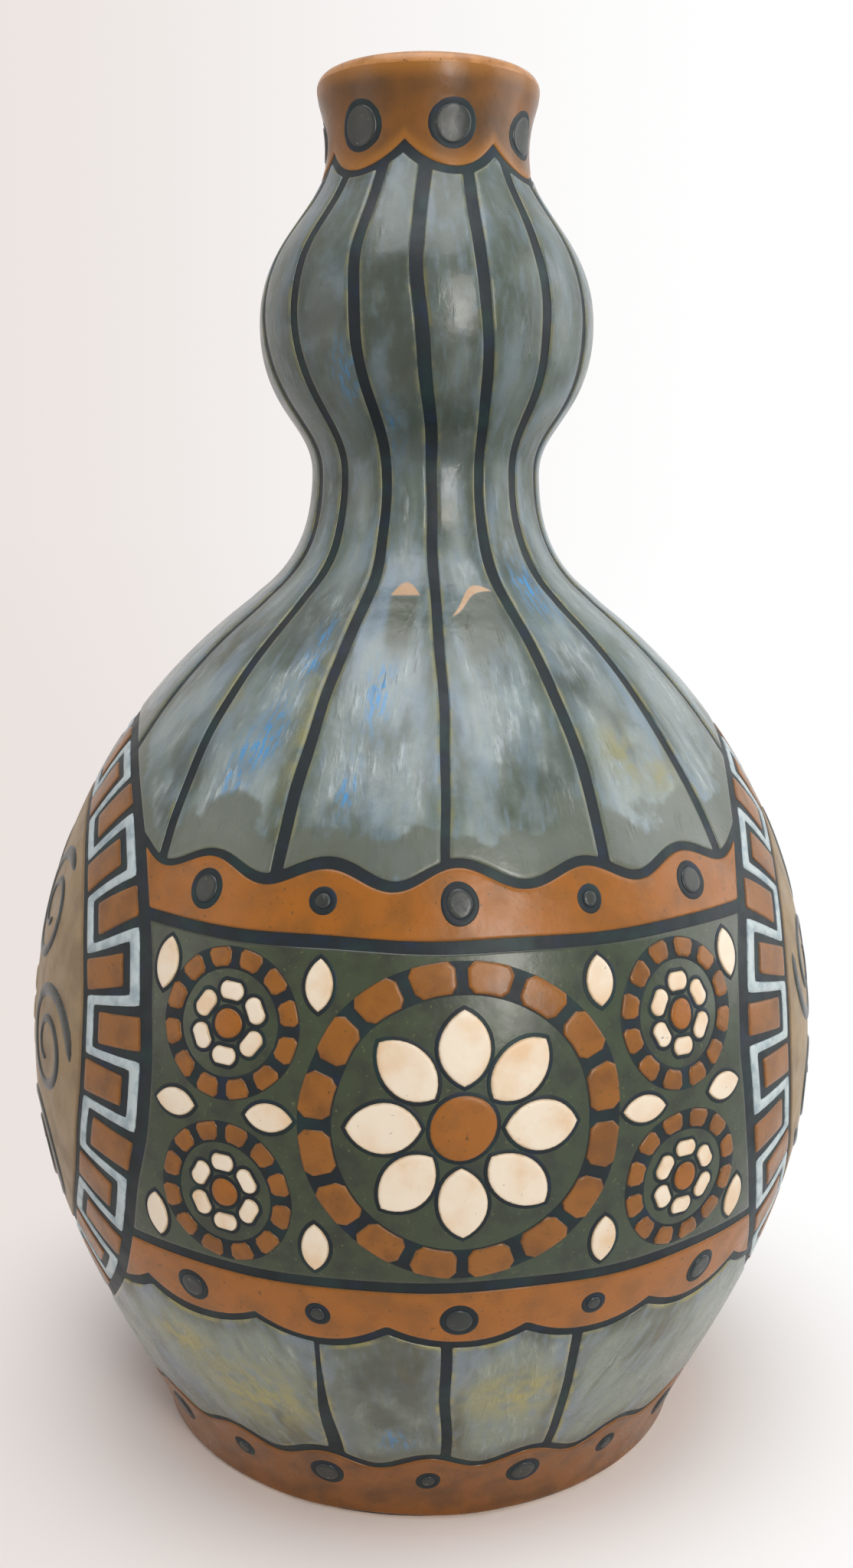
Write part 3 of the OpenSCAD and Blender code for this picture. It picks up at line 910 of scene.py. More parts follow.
class PatchMesh:
    """Gathers closed shells of glaze that lie on the wall into one mesh.

    No point wanders nearer to the table, or higher over the lip's start, than the margin, and
    each shell's chart is shifted, so that neighbours have other clouds.
    """

    MARGIN = 0.3
    CHART_SHIFT = 0.37

    def __init__(self, profile: GourdProfile, wobble: HandWobble) -> None:
        """Starts an empty mesh.

        Args:
            profile: The wall.
            wobble: The hand's wander.
        """
        self.profile = profile
        self.wobble = wobble
        self.points: list[Array] = []
        self.faces: list[list[int]] = []
        self.finish: list[int] = []
        self.facts: dict[str, list[Array]] = {name: [] for name in (*NO_MARKS, "chart")}
        self.count = 0

    def add(
        self,
        az: Array,
        z: Array,
        lift: Array,
        faces: list[Array],
        rim: Array,
        finish: int = 0,
        edge: Array | None = None,
        under: float = -0.1,
        marks: dict[str, Array] | None = None,
    ) -> None:
        """Adds one shell: the given top, and the same faces reversed a little lower.

        Args:
            az: Azimuth of each point.
            z: Height of each point on the wall.
            lift: Its distance from the wall.
            faces: Arrays of corners, counted from the first point.
            rim: Which points lie on the shell's rim, where top and underside meet.
            finish: Place of the finish in the mesh's list.
            edge: Distance of each point from the shell's rim.
            under: Distance of the underside from the wall.
            marks: Values at each point that the finish uses, by name.
        """
        az, z, lift, rim = (np.ravel(a) for a in (az, z, lift, rim))
        n, inner = len(az), ~rim
        given = dict(marks or {}) if edge is None else {"edge": edge, **(marks or {})}
        values = {name: np.ravel(given.get(name, np.full(n, none))) for name, none in NO_MARKS.items()}
        flat = self.profile.place(az, z, 0 * z)
        r = self.profile.radius(z)
        moved_az = az + np.degrees(self.wobble.shift(flat, seed=1.0) / r)
        moved_z = z + self.wobble.shift(flat, seed=4.0) * self.profile.upright(z)
        moved_z = np.clip(moved_z, self.MARGIN, self.profile.lip_z + self.MARGIN)
        top = self.profile.place(moved_az, moved_z, lift)
        below = self.profile.place(moved_az[inner], moved_z[inner], np.full(inner.sum(), under))
        across = np.radians(az - az.mean()) * r
        shift = np.full(n, self.count * self.CHART_SHIFT % 1.0)
        values["chart"] = np.stack([across * MM, z * MM, shift], -1)
        self.points += [top, below]
        for name, each in values.items():
            self.facts[name] += [each, each[inner]]
        mirror = np.arange(n)
        mirror[inner] = n + np.arange(inner.sum())
        for part in faces:
            self.faces += (part + self.count).tolist()
            self.faces += (mirror[part][:, ::-1] + self.count).tolist()
            self.finish += [finish] * (2 * len(part))
        self.count += n + int(inner.sum())

    def build(self, node: str, slot: str, finishes: list[Finish]) -> bpy.types.Object:
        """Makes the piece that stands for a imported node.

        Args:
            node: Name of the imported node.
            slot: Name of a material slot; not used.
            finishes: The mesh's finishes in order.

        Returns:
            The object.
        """
        points = np.concatenate(self.points)
        return make_piece(node, finishes, points, self.faces, self.finish, self.facts)


def make_piece(
    node: str,
    finishes: list[Finish],
    points: Array,
    faces: list[list[int]],
    finish: list[int],
    facts: dict[str, list[Array]],
) -> bpy.types.Object:
    """Makes a piece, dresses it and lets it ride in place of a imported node.

    Args:
        node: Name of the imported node.
        finishes: The piece's finishes in order.
        points: Its points.
        faces: Corners of each face.
        finish: Place of each face's finish in the list.
        facts: Values at the points that the finishes use, by name.

    Returns:
        The object.
    """
    mesh = bpy.data.meshes.new(node + "_glazed")
    mesh.from_pydata((points * MM).tolist(), [], faces)
    mesh.polygons.foreach_set("material_index", finish)
    for name, parts in facts.items():
        values = np.concatenate(parts)
        kind = "FLOAT" if values.ndim == 1 else "FLOAT_VECTOR"
        layer = mesh.attributes.new(name, kind, "POINT")
        layer.data.foreach_set("value" if kind == "FLOAT" else "vector", values.ravel().astype(np.float32))
    for each in finishes:
        mesh.materials.append(each.material())
    mesh.shade_smooth()
    mesh.set_sharp_from_angle(angle=math.radians(SHARP_ANGLE))
    mesh.validate()
    piece = bpy.data.objects.new(node + "_glazed", mesh)
    bpy.context.scene.collection.objects.link(piece)
    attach(piece, "root")
    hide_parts(node)
    LOG.info("%s: %d points, %d faces", piece.name, len(points), len(faces))
    return piece


def grid_faces(cols: int, rows: int, wrap: bool = False) -> Array:
    """Quads of a grid whose points run up each column in turn.

    Args:
        cols: Number of columns.
        rows: Number of points in a column.
        wrap: Whether the last column meets the first.

    Returns:
        Corners of each quad.
    """
    i = np.arange(cols if wrap else cols - 1)[:, None]
    j = np.arange(rows - 1)[None, :]
    k = (i + 1) % cols
    quads = np.stack([i * rows + j, k * rows + j, k * rows + j + 1, i * rows + j + 1], -1)
    return quads.reshape(-1, 4)


def dome(*shares: Array) -> Array:
    """Height of a softly rounded edge, from 0 on the rim to 1 inside it.

    Args:
        *shares: Distances from the rims as shares of the rounding.

    Returns:
        The height at each point.
    """
    rest = sum((1 - np.clip(s, 0, 1)) ** 2 for s in shares)
    return np.sqrt(np.clip(1 - rest, 0, 1))


def spread(width: Array, count: int, crowd: tuple[float, ...], room: float = 2.6) -> Array:
    """Places points across a width, close together at both edges.

    Args:
        width: The widths, one for each line of points.
        count: Number of points between the crowded ones.
        crowd: Distances of the crowded points from an edge.
        room: Where a width is less than this many times the last of them, they close up.

    Returns:
        Distances from the first edge, with the points along the first axis.
    """
    width = np.asarray(width, float)
    squeeze = np.minimum(1.0, width / (room * crowd[-1]))
    first = [c * squeeze for c in crowd]
    gap = width - 2 * first[-1]
    middle = [first[-1] + gap * (i + 1) / (count + 1) for i in range(count)]
    return np.stack([*first, *middle, *(width - f for f in reversed(first))])


@dataclass
class Glazier:
    """Lays pads and motifs of glaze on the wall.

    A pad is a field of the first layer, and a motif lies in the second, inside a drawn line. The
    crowd is where points lie near a pad's edge, and shrinks and belt shares are a motif's rings.
    """

    profile: GourdProfile = field(default_factory=GourdProfile)
    wobble: HandWobble = field(default_factory=HandWobble)
    pad: float = 0.42
    rounding: float = 0.55
    crowd: tuple[float, ...] = (0.0, 0.08, 0.22, 0.5, 1.0)
    motif_rim: float = 0.5
    motif_top: float = 0.78
    motif_sink: float = 0.15
    line_share: float = 0.85
    under: float = 0.2
    shrinks: tuple[float, ...] = (1.0, 0.96, 0.9, 0.8, 0.6, 0.3)
    belt_shares: tuple[float, ...] = (0.0, 0.1, 0.3, 0.5, 0.7, 0.9, 1.0)
    belt_round: float = 0.4
    start_z: float = 120.0
    settling: int = 5

    def mesh(self) -> PatchMesh:
        """Starts an empty mesh on this wall."""
        return PatchMesh(self.profile, self.wobble)

    def facing(self, az: float, z: float, outline: Array) -> tuple[Array, Array]:
        """Carries a flat outline, seen square on, to the wall.

        Args:
            az: Azimuth that it faces.
            z: Height of its origin.
            outline: Points' places to the right and up.

        Returns:
            Azimuth and height of each point.
        """
        up = z + outline[..., 1]
        across = np.clip(outline[..., 0] / self.profile.radius(up), -1, 1)
        return az + np.degrees(np.arcsin(across)), up

    def spots(self, places: Spots, az: Array, z: Array) -> Array:
        """Soft spots on the wall.

        Args:
            places: Azimuth, height and half sizes of each spot.
            az: Azimuths.
            z: Heights.

        Returns:
            The share to which a spot shows at each point.
        """
        r = self.profile.radius(z)
        total = np.zeros_like(z)
        for at_az, at_z, wide, tall in places:
            across = np.radians(turn_from(az, at_az)) * r
            total += np.exp(-((across / wide) ** 2) - ((z - at_z) / tall) ** 2)
        return np.clip(total, 0, 1)

    def strip(
        self,
        mesh: PatchMesh,
        left: Curve,
        right: Curve,
        bottom: Curve,
        top: Curve,
        cols: int,
        rows: int,
        sides: bool = True,
        cap: bool = True,
        finish: int = 0,
        marks: Callable[[Array, Array], dict[str, Array]] | None = None,
    ) -> None:
        """Lays a pad between two side lines and two edges.

        The sides go by height and the edges by azimuth, so the points are settled in a few rounds.

        Args:
            mesh: Where it goes.
            left: Azimuth of the left side by height.
            right: Azimuth of the right side by height.
            bottom: Height of the lower edge by azimuth.
            top: Height of the upper edge by azimuth.
            cols: Number of columns between the crowded ones.
            rows: Number of rows between the crowded ones.
            sides: Whether the sides are rounded, or meet behind.
            cap: Whether the upper edge is rounded, or runs on.
            finish: Place of the finish in the mesh's list.
            marks: Gives the finish's values at azimuths and heights.
        """
        wide, tall = cols + 2 * len(self.crowd), rows + 2 * len(self.crowd)
        at = np.array(self.start_z)
        middle = np.full((wide, tall), 0.5 * float(left(at) + right(at)))
        low, high = bottom(middle), top(middle)
        z = low + (high - low) * np.linspace(0, 1, tall)[None, :]
        for _ in range(self.settling):
            start, end = left(z), right(z)
            r = self.profile.radius(z)
            width = np.radians(end - start) * r
            across = np.diagonal(spread(width.T, cols, self.crowd), axis1=0, axis2=2).T
            az = start + np.degrees(across / r)
            low, high = bottom(az), top(az)
            z = low + np.diagonal(spread(high - low, rows, self.crowd), axis1=0, axis2=2)
        upright = self.profile.upright(z)
        run = np.maximum(np.gradient(az, axis=0), TINY)
        lean_low, lean_high = (
            np.cos(np.arctan(np.gradient(edge, axis=0) / run * RADIAN / r)) for edge in (low, high)
        )
        up, down = (z - low) / upright * lean_low, (high - z) / upright * lean_high
        inward = np.minimum(across, width - across) if sides else np.full_like(z, FAR)
        along = np.minimum(up, down) if cap else up
        lift = self.pad * dome(inward / self.rounding, along / self.rounding)
        rim = np.zeros_like(z, bool)
        rim[:, 0] = rim[:, -1] = True
        if sides:
            rim[0] = rim[-1] = True
        shown = {"low": up, **(marks(az, z) if marks else {})}
        edge = np.minimum(inward, along)
        mesh.add(az, z, lift, [grid_faces(wide, tall)], rim, finish, edge, marks=shown)

    def star(
        self,
        mesh: PatchMesh,
        az: float,
        z: float,
        outline: Array,
        centre: Pair | Array = (0.0, 0.0),
        base: float = 0.3,
        top: float = 0.78,
        rounding: float = 0.6,
        finish: int = 0,
    ) -> None:
        """Lays a domed motif whose whole outline is seen from its centre.

        Args:
            mesh: Where it goes.
            az: Azimuth that the motif faces.
            z: Height of its origin.
            outline: Its points, anticlockwise.
            centre: The point that it shrinks to.
            base: Lift of the rim.
            top: Lift of the middle.
            rounding: Width of the rounded edge.
            finish: Place of the finish in the mesh's list.
        """
        centre = np.asarray(centre, float)
        way = np.roll(outline, -1, 0) - np.roll(outline, 1, 0)
        way /= np.linalg.norm(way, axis=1)[:, None]
        deep = np.abs((outline - centre)[:, 0] * way[:, 1] - (outline - centre)[:, 1] * way[:, 0])
        rings = np.stack([centre + (outline - centre) * s for s in self.shrinks], 1)
        edge = np.stack([(1 - s) * deep for s in self.shrinks], 1)
        n, m = edge.shape
        flat = np.concatenate([rings.reshape(-1, 2), centre[None]])
        edge = np.append(edge.ravel(), deep.mean())
        lift = base + (top - base) * dome(edge / rounding)
        quads = grid_faces(n, m, wrap=True)
        last = np.arange(n) * m + m - 1
        hub = np.stack([last, np.roll(last, -1), np.full(n, n * m)], -1)
        rim = np.zeros(len(flat), bool)
        rim[np.arange(n) * m] = True
        point_az, point_z = self.facing(az, z, flat)
        below = base - self.under
        mesh.add(point_az, point_z, lift, [quads, hub], rim, finish, edge, under=below)

    def belt(
        self,
        mesh: PatchMesh,
        az: float,
        z: float,
        outer: Array,
        inner: Array,
        base: float = 0.3,
        top: float = 0.5,
        finish: int = 0,
        closed: bool = True,
    ) -> None:
        """Lays a ribbon between two lines of points.

        Args:
            mesh: Where it goes.
            az: Azimuth that the ribbon faces.
            z: Height of its origin.
            outer: Its outer or right-hand line.
            inner: Its inner or left-hand line.
            base: Lift of the rims.
            top: Lift of the middle.
            finish: Place of the finish in the mesh's list.
            closed: Whether the ribbon's end meets its start.
        """
        shares = np.array(self.belt_shares)
        flat = outer[:, None] + (inner - outer)[:, None] * shares[None, :, None]
        wide = np.linalg.norm(inner - outer, axis=1)[:, None]
        nearest = np.minimum(shares, 1 - shares)[None]
        edge = nearest * wide
        lift = base + (top - base) * dome(nearest / self.belt_round + 0 * wide)
        rim = np.zeros(edge.shape, bool)
        rim[:, 0] = rim[:, -1] = True
        if not closed:
            rim[0] = rim[-1] = True
            lift[0] = lift[-1] = base
        point_az, point_z = self.facing(az, z, flat)
        faces = grid_faces(len(outer), len(shares), wrap=closed)
        mesh.add(point_az, point_z, lift, [faces], rim, finish, edge, under=base - self.under)

    def rimmed(
        self, mesh: PatchMesh, az: float, z: float, outline: Array, centre: Array, wide: float
    ) -> None:
        """Lays a motif, of the mesh's finish 0, inside a drawn line of slip, its finish 1.

        Args:
            mesh: Where they go.
            az: Azimuth that the motif faces.
            z: Height of its origin.
            outline: The motif's points, anticlockwise.
            centre: The point that it shrinks to.
            wide: Width of the drawn line.
        """
        grown = grow(outline, wide)
        shrunk = centre + (outline - centre) * self.line_share
        base = self.motif_rim - self.motif_sink
        self.belt(mesh, az, z, grown, shrunk, top=self.motif_rim, finish=1)
        self.star(mesh, az, z, outline, centre, base=base, top=self.motif_top)


def grow(outline: Array, by: float, blunt: float = 0.9) -> Array:
    """Grows a closed outline.

    Args:
        outline: Its points, anticlockwise.
        by: Distance to grow by.
        blunt: Least square of a corner's summed normals; it holds back a sharp corner.

    Returns:
        The grown outline's points.
    """
    back = outline - np.roll(outline, 1, 0)
    ahead = np.roll(outline, -1, 0) - outline
    both = sum(
        np.stack([way[:, 1], -way[:, 0]], 1) / np.maximum(np.linalg.norm(way, axis=1), TINY)[:, None]
        for way in (back, ahead)
    )
    size = np.maximum((both**2).sum(1), blunt)[:, None]
    return outline + both * (2 * by / size)


def circle(r: float, count: int = 40, uneven: float = 0.0, seed: float = 0.0) -> Array:
    """Points of a circle drawn by hand.

    Args:
        r: Its radius.
        count: Number of points.
        uneven: Share by which the radius wanders.
        seed: Phase of that wander.

    Returns:
        The points, anticlockwise.
    """
    t = np.linspace(0, 2 * math.pi, count, endpoint=False)
    wander = 1 + uneven * (np.sin(2 * t + seed) + 0.6 * np.sin(3 * t + 2.3 * seed))
    return r * wander[:, None] * np.stack([np.cos(t), np.sin(t)], 1)


def leaf(length: float, width: float, count: int = 14) -> Array:
    """Pointed oval of two arcs, standing on its lower point at the origin.

    Args:
        length: Its length.
        width: Its width.
        count: Number of points on each arc.

    Returns:
        The points, anticlockwise.
    """
    r = (length**2 + width**2) / (4 * width)
    half = math.asin(length / 2 / r)
    t = np.linspace(-half, half, count, endpoint=False)
    right = np.stack([r * np.cos(t) - r + width / 2, length / 2 + r * np.sin(t)], 1)
    return np.concatenate([right, np.array([0, length]) - right * np.array([1, 1])])


def turned(points: Array, angle: float, shift: Pair | Array = (0.0, 0.0)) -> Array:
    """Turns points about the origin, anticlockwise in degrees, and then shifts them."""
    cos, sin = math.cos(math.radians(angle)), math.sin(math.radians(angle))
    return points @ np.array([[cos, sin], [-sin, cos]]) + np.asarray(shift)


def sector(
    r0: float, r1: float, from_angle: float, to_angle: float, gap: float, count: int = 7
) -> Array:
    """A block of a ring, with its gaps to the next blocks left out on both sides.

    Args:
        r0: Inner radius.
        r1: Outer radius.
        from_angle: Angle at which the block's pitch starts.
        to_angle: Angle at which it ends.
        gap: Width of the gap between two blocks.
        count: Number of points on each arc.

    Returns:
        The points, anticlockwise.
    """
    sides = []
    for r, flip in ((r1, 1), (r0, -1)):
        inset = math.degrees(gap / 2 / r)
        t = np.radians(np.linspace(from_angle + inset, to_angle - inset, count)[::flip])
        sides.append(r * np.stack([np.cos(t), np.sin(t)], 1))
    return soften(np.concatenate(sides), share=0.45)


def soften(outline: Array, share: float = 0.4) -> Array:
    """Rounds the corners of a closed outline by drawing each point towards its neighbours."""
    middle = (np.roll(outline, 1, 0) + np.roll(outline, -1, 0)) / 2
    return outline + (middle - outline) * share


class Wave(Enum):
    """How a band's edge swings."""

    SOFT = "soft"
    SCALLOP = "scallop"


@dataclass(frozen=True)
class WavyEdge:
    """A band's wavy edge: its height by azimuth, uneven by hand over a few lobes at a time."""

    lobes: int
    turn: float
    peak: float
    rest: float
    wave: Wave = Wave.SCALLOP
    power: float = 2.0
    uneven: float = 0.25
    uneven_lobes: float = 2.7
    uneven_phase: float = 1.3

    def __call__(self, az: Array) -> Array:
        """Finds the edge.

        Args:
            az: Azimuths.

        Returns:
            Its height at each.
        """
        pitch = FULL_TURN / self.lobes
        at = (np.asarray(az, float) - self.turn) / pitch
        off = np.abs((at + 0.5) % 1 - 0.5) * 2
        swing = 0.5 + 0.5 * np.cos(math.pi * off) if self.wave is Wave.SOFT else 1 - off**self.power
        hand = self.uneven * np.sin(2 * math.pi * at / self.uneven_lobes + self.uneven_phase)
        return self.rest + (self.peak - self.rest) * swing + hand


@dataclass(frozen=True)
class ParallelEdge:
    """An edge that keeps its distance from another, round its cusps too."""

    edge: Curve
    gap: float
    side: int
    profile: GourdProfile
    samples: int = 13

    def __call__(self, az: Array) -> Array:
        """Finds the edge.

        Args:
            az: Azimuths.

        Returns:
            Its height at each.
        """
        az = np.asarray(az, float)
        z = self.edge(az)
        r, upright = self.profile.radius(z), self.profile.upright(z)
        best = None
        for d in np.linspace(-1, 1, self.samples) * self.gap:
            rise = math.sqrt(max(self.gap**2 - d**2, 0.0)) * upright
            reach = self.side * self.edge(az + np.degrees(d / r)) + rise
            best = reach if best is None else np.maximum(best, reach)
        return self.side * best


def smooth_rise(x: Array, start: float, end: float) -> Array:
    """Rises smoothly from 0 at start to 1 at end."""
    t = np.clip((np.asarray(x, float) - start) / (end - start), 0, 1)
    return t * t * (3 - 2 * t)


# The sub-assemblies.


@dataclass
class ThrownBody:
    """The four thrown sections, luted at stepped seams.

    The rings are the depth and the two paces of the throwing marks inside.
    """

    glazier: Glazier
    slip: float = 0.13
    seam_step: float = 3.0
    seam_gap: float = 0.2
    floor: float = 8.0
    hollow: float = 2.5
    ring: float = 9.0
    bevel: float = 1.0
    fillet: float = 10.0
    turns: int = 288
    step: float = 1.5
    rings: Triple = (0.12, 1.15, 0.31)
    arc_points: int = 9
    lip_tuck: float = 0.5
    lip_glaze: float = 0.95
    merge: float = 1e-4

    def wall(self, z0: float, z1: float, lift: float) -> Array:
        """Outside of the wall between two heights.

        Args:
            z0: The lower height.
            z1: The upper height.
            lift: Thickness of the slip on it.

        Returns:
            The line's points, upwards.
        """
        profile = self.glazier.profile
        z = np.linspace(z0, z1, max(3, int((z1 - z0) / self.step)))
        r = profile.radius(z) + lift * profile.upright(z)
        return np.stack([r, z + lift * np.interp(z, profile.z, profile.nz)], 1)

    def inside(self, z0: float, z1: float) -> Array:
        """Inside of the wall between two heights, with its throwing rings.

        Args:
            z0: The lower height.
            z1: The upper height.

        Returns:
            The line's points, downwards.
        """
        z = np.linspace(z1, z0, max(3, int((z1 - z0) / self.step)))
        depth, pace, beat = self.rings
        rings = depth * np.sin(z * pace) * np.sin(z * beat)
        return np.stack([self.glazier.profile.inner(z) + rings, z], 1)

    def seam_r(self, z: float) -> float:
        """Radius of a seam's upright face: the middle of the wall."""
        profile = self.glazier.profile
        return float(profile.radius(z) + profile.inner(z)) / 2

    def below(self, z: float) -> Array:
        """The ledge and tongue at a section's top.

        Args:
            z: The seam's height.

        Returns:
            The line's points, inwards.
        """
        r = self.seam_r(z)
        inner = self.glazier.profile.inner(z + self.seam_step)
        return np.array([[r, z], [r, z + self.seam_step], [inner, z + self.seam_step]])

    def above(self, z: float) -> Array:
        """The rebate at a section's bottom, which clears the tongue."""
        r = self.seam_r(z) + self.seam_gap
        return np.array([[r, z + self.seam_step], [r, z]])

    def arc(self, centre: Pair, r: float, start: float, end: float) -> Array:
        """Points of a rounding between two angles."""
        t = np.radians(np.linspace(start, end, self.arc_points))
        return np.asarray(centre) + r * np.stack([np.cos(t), np.sin(t)], 1)

    def turn_up(self, node: str, finishes: list[Finish], legs: list[tuple[Array, int]]) -> None:
        """Turns a closed line about the axis.

        Args:
            node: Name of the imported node.
            finishes: The piece's finishes.
            legs: Stretches of the line in order, each with the place of its finish.
        """
        line = np.concatenate([part for part, _ in legs])
        kinds = np.concatenate([np.full(len(part), kind) for part, kind in legs])
        keep = np.append(np.linalg.norm(np.diff(line, axis=0), axis=1) > self.merge, True)
        line, kinds = line[keep], kinds[keep]
        if np.linalg.norm(line[0] - line[-1]) < self.merge:
            line, kinds = line[:-1], kinds[:-1]
        on_axis = line[:, 0] < TINY
        t = np.linspace(0, 2 * math.pi, self.turns, endpoint=False)
        starts, points = [], []
        count = 0
        for r, z in line:
            n = 1 if r < TINY else self.turns
            starts.append(count)
            ring = np.stack([r * np.sin(t[:n]), -r * np.cos(t[:n]), np.full(n, z)], 1)
            points.append(ring)
            count += n
        faces, finish = [], []
        j = np.arange(self.turns)
        k = (j + 1) % self.turns
        for i in range(len(line)):
            n = (i + 1) % len(line)
            if on_axis[i] and on_axis[n]:
                continue
            a, b = starts[i], starts[n]
            if on_axis[i]:
                part = np.stack([np.full_like(j, a), b + k, b + j], 1)
            elif on_axis[n]:
                part = np.stack([a + j, a + k, np.full_like(j, b)], 1)
            else:
                part = np.stack([a + j, a + k, b + k, b + j], 1)
            faces += part.tolist()
            finish += [int(kinds[i])] * len(part)
        xyz = np.concatenate(points)
        facts = {"edge": [np.full(len(xyz), FAR)]}
        make_piece(node, finishes, xyz, faces, finish, facts)

    def build(self) -> None:
        """Builds and dresses the sections."""
        profile = self.glazier.profile
        top, ring_in = self.hollow + self.floor, profile.foot_r - self.ring
        corner_z = top + self.fillet
        corner = (float(profile.inner(corner_z)) - self.fillet, corner_z)
        self.turn_up(
            "lower_bowl",
            [SLIP, CLAY, LINER],
            [
                (np.array([[0, self.hollow], [ring_in - self.hollow, self.hollow], [ring_in, 0]]), 1),
                (np.array([[profile.foot_r - self.bevel, 0]]), 1),
                (self.wall(self.bevel, profile.belly_z, self.slip), 0),
                (self.below(profile.belly_z), 1),
                (self.inside(corner_z, profile.belly_z + self.seam_step), 2),
                (self.arc(corner, self.fillet, 0, -90), 2),
                (np.array([[0, top]]), 2),
            ],
        )
        for node, z0, z1 in (
            ("shoulder", profile.belly_z, profile.waist_z),
            ("bulb", profile.waist_z, profile.throat_z),
        ):
            legs = [
                (self.wall(z0, z1, self.slip), 0),
                (self.below(z1), 1),
                (self.inside(z0 + self.seam_step, z1 + self.seam_step), 2),
                (self.above(z0), 1),
            ]
            self.turn_up(node, [SLIP, CLAY, LINER], legs)
        edge = profile.lip_round
        in_r = float(profile.inner(profile.lip_z))
        outside = edge + self.glazier.pad * self.lip_glaze
        self.turn_up(
            "collar",
            [SLIP, CLAY, LINER, LIT_LIP_OCHRE],
            [
                (self.wall(profile.throat_z, profile.lip_z - self.lip_tuck, self.slip), 0),
                (self.arc((profile.lip_r - edge, profile.lip_z), outside, 0, 90), 3),
                (self.arc((in_r + edge, profile.lip_z), outside, 90, 180), 3),
                (self.inside(profile.throat_z + self.seam_step, profile.lip_z), 2),
                (self.above(profile.throat_z), 1),
            ],
        )


@dataclass
class Dots:
    """The dark dots on a band, each in a drawn rim of slip."""

    glazier: Glazier
    rim: float = 1.25

    def build(self, node: str, places: list[Triple]) -> None:
        """Builds and dresses the dots of a band.

        Args:
            node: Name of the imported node.
            places: Azimuth, height and diameter of each dot.
        """
        mesh = self.glazier.mesh()
        for i, (az, z, size) in enumerate(places):
            outline = circle(size / 2 - self.rim, uneven=0.025, seed=1.7 * i)
            self.glazier.rimmed(mesh, az, z, outline, np.zeros(2), self.rim)
        mesh.build(node, "dot_glaze", [DOT, SLIP])


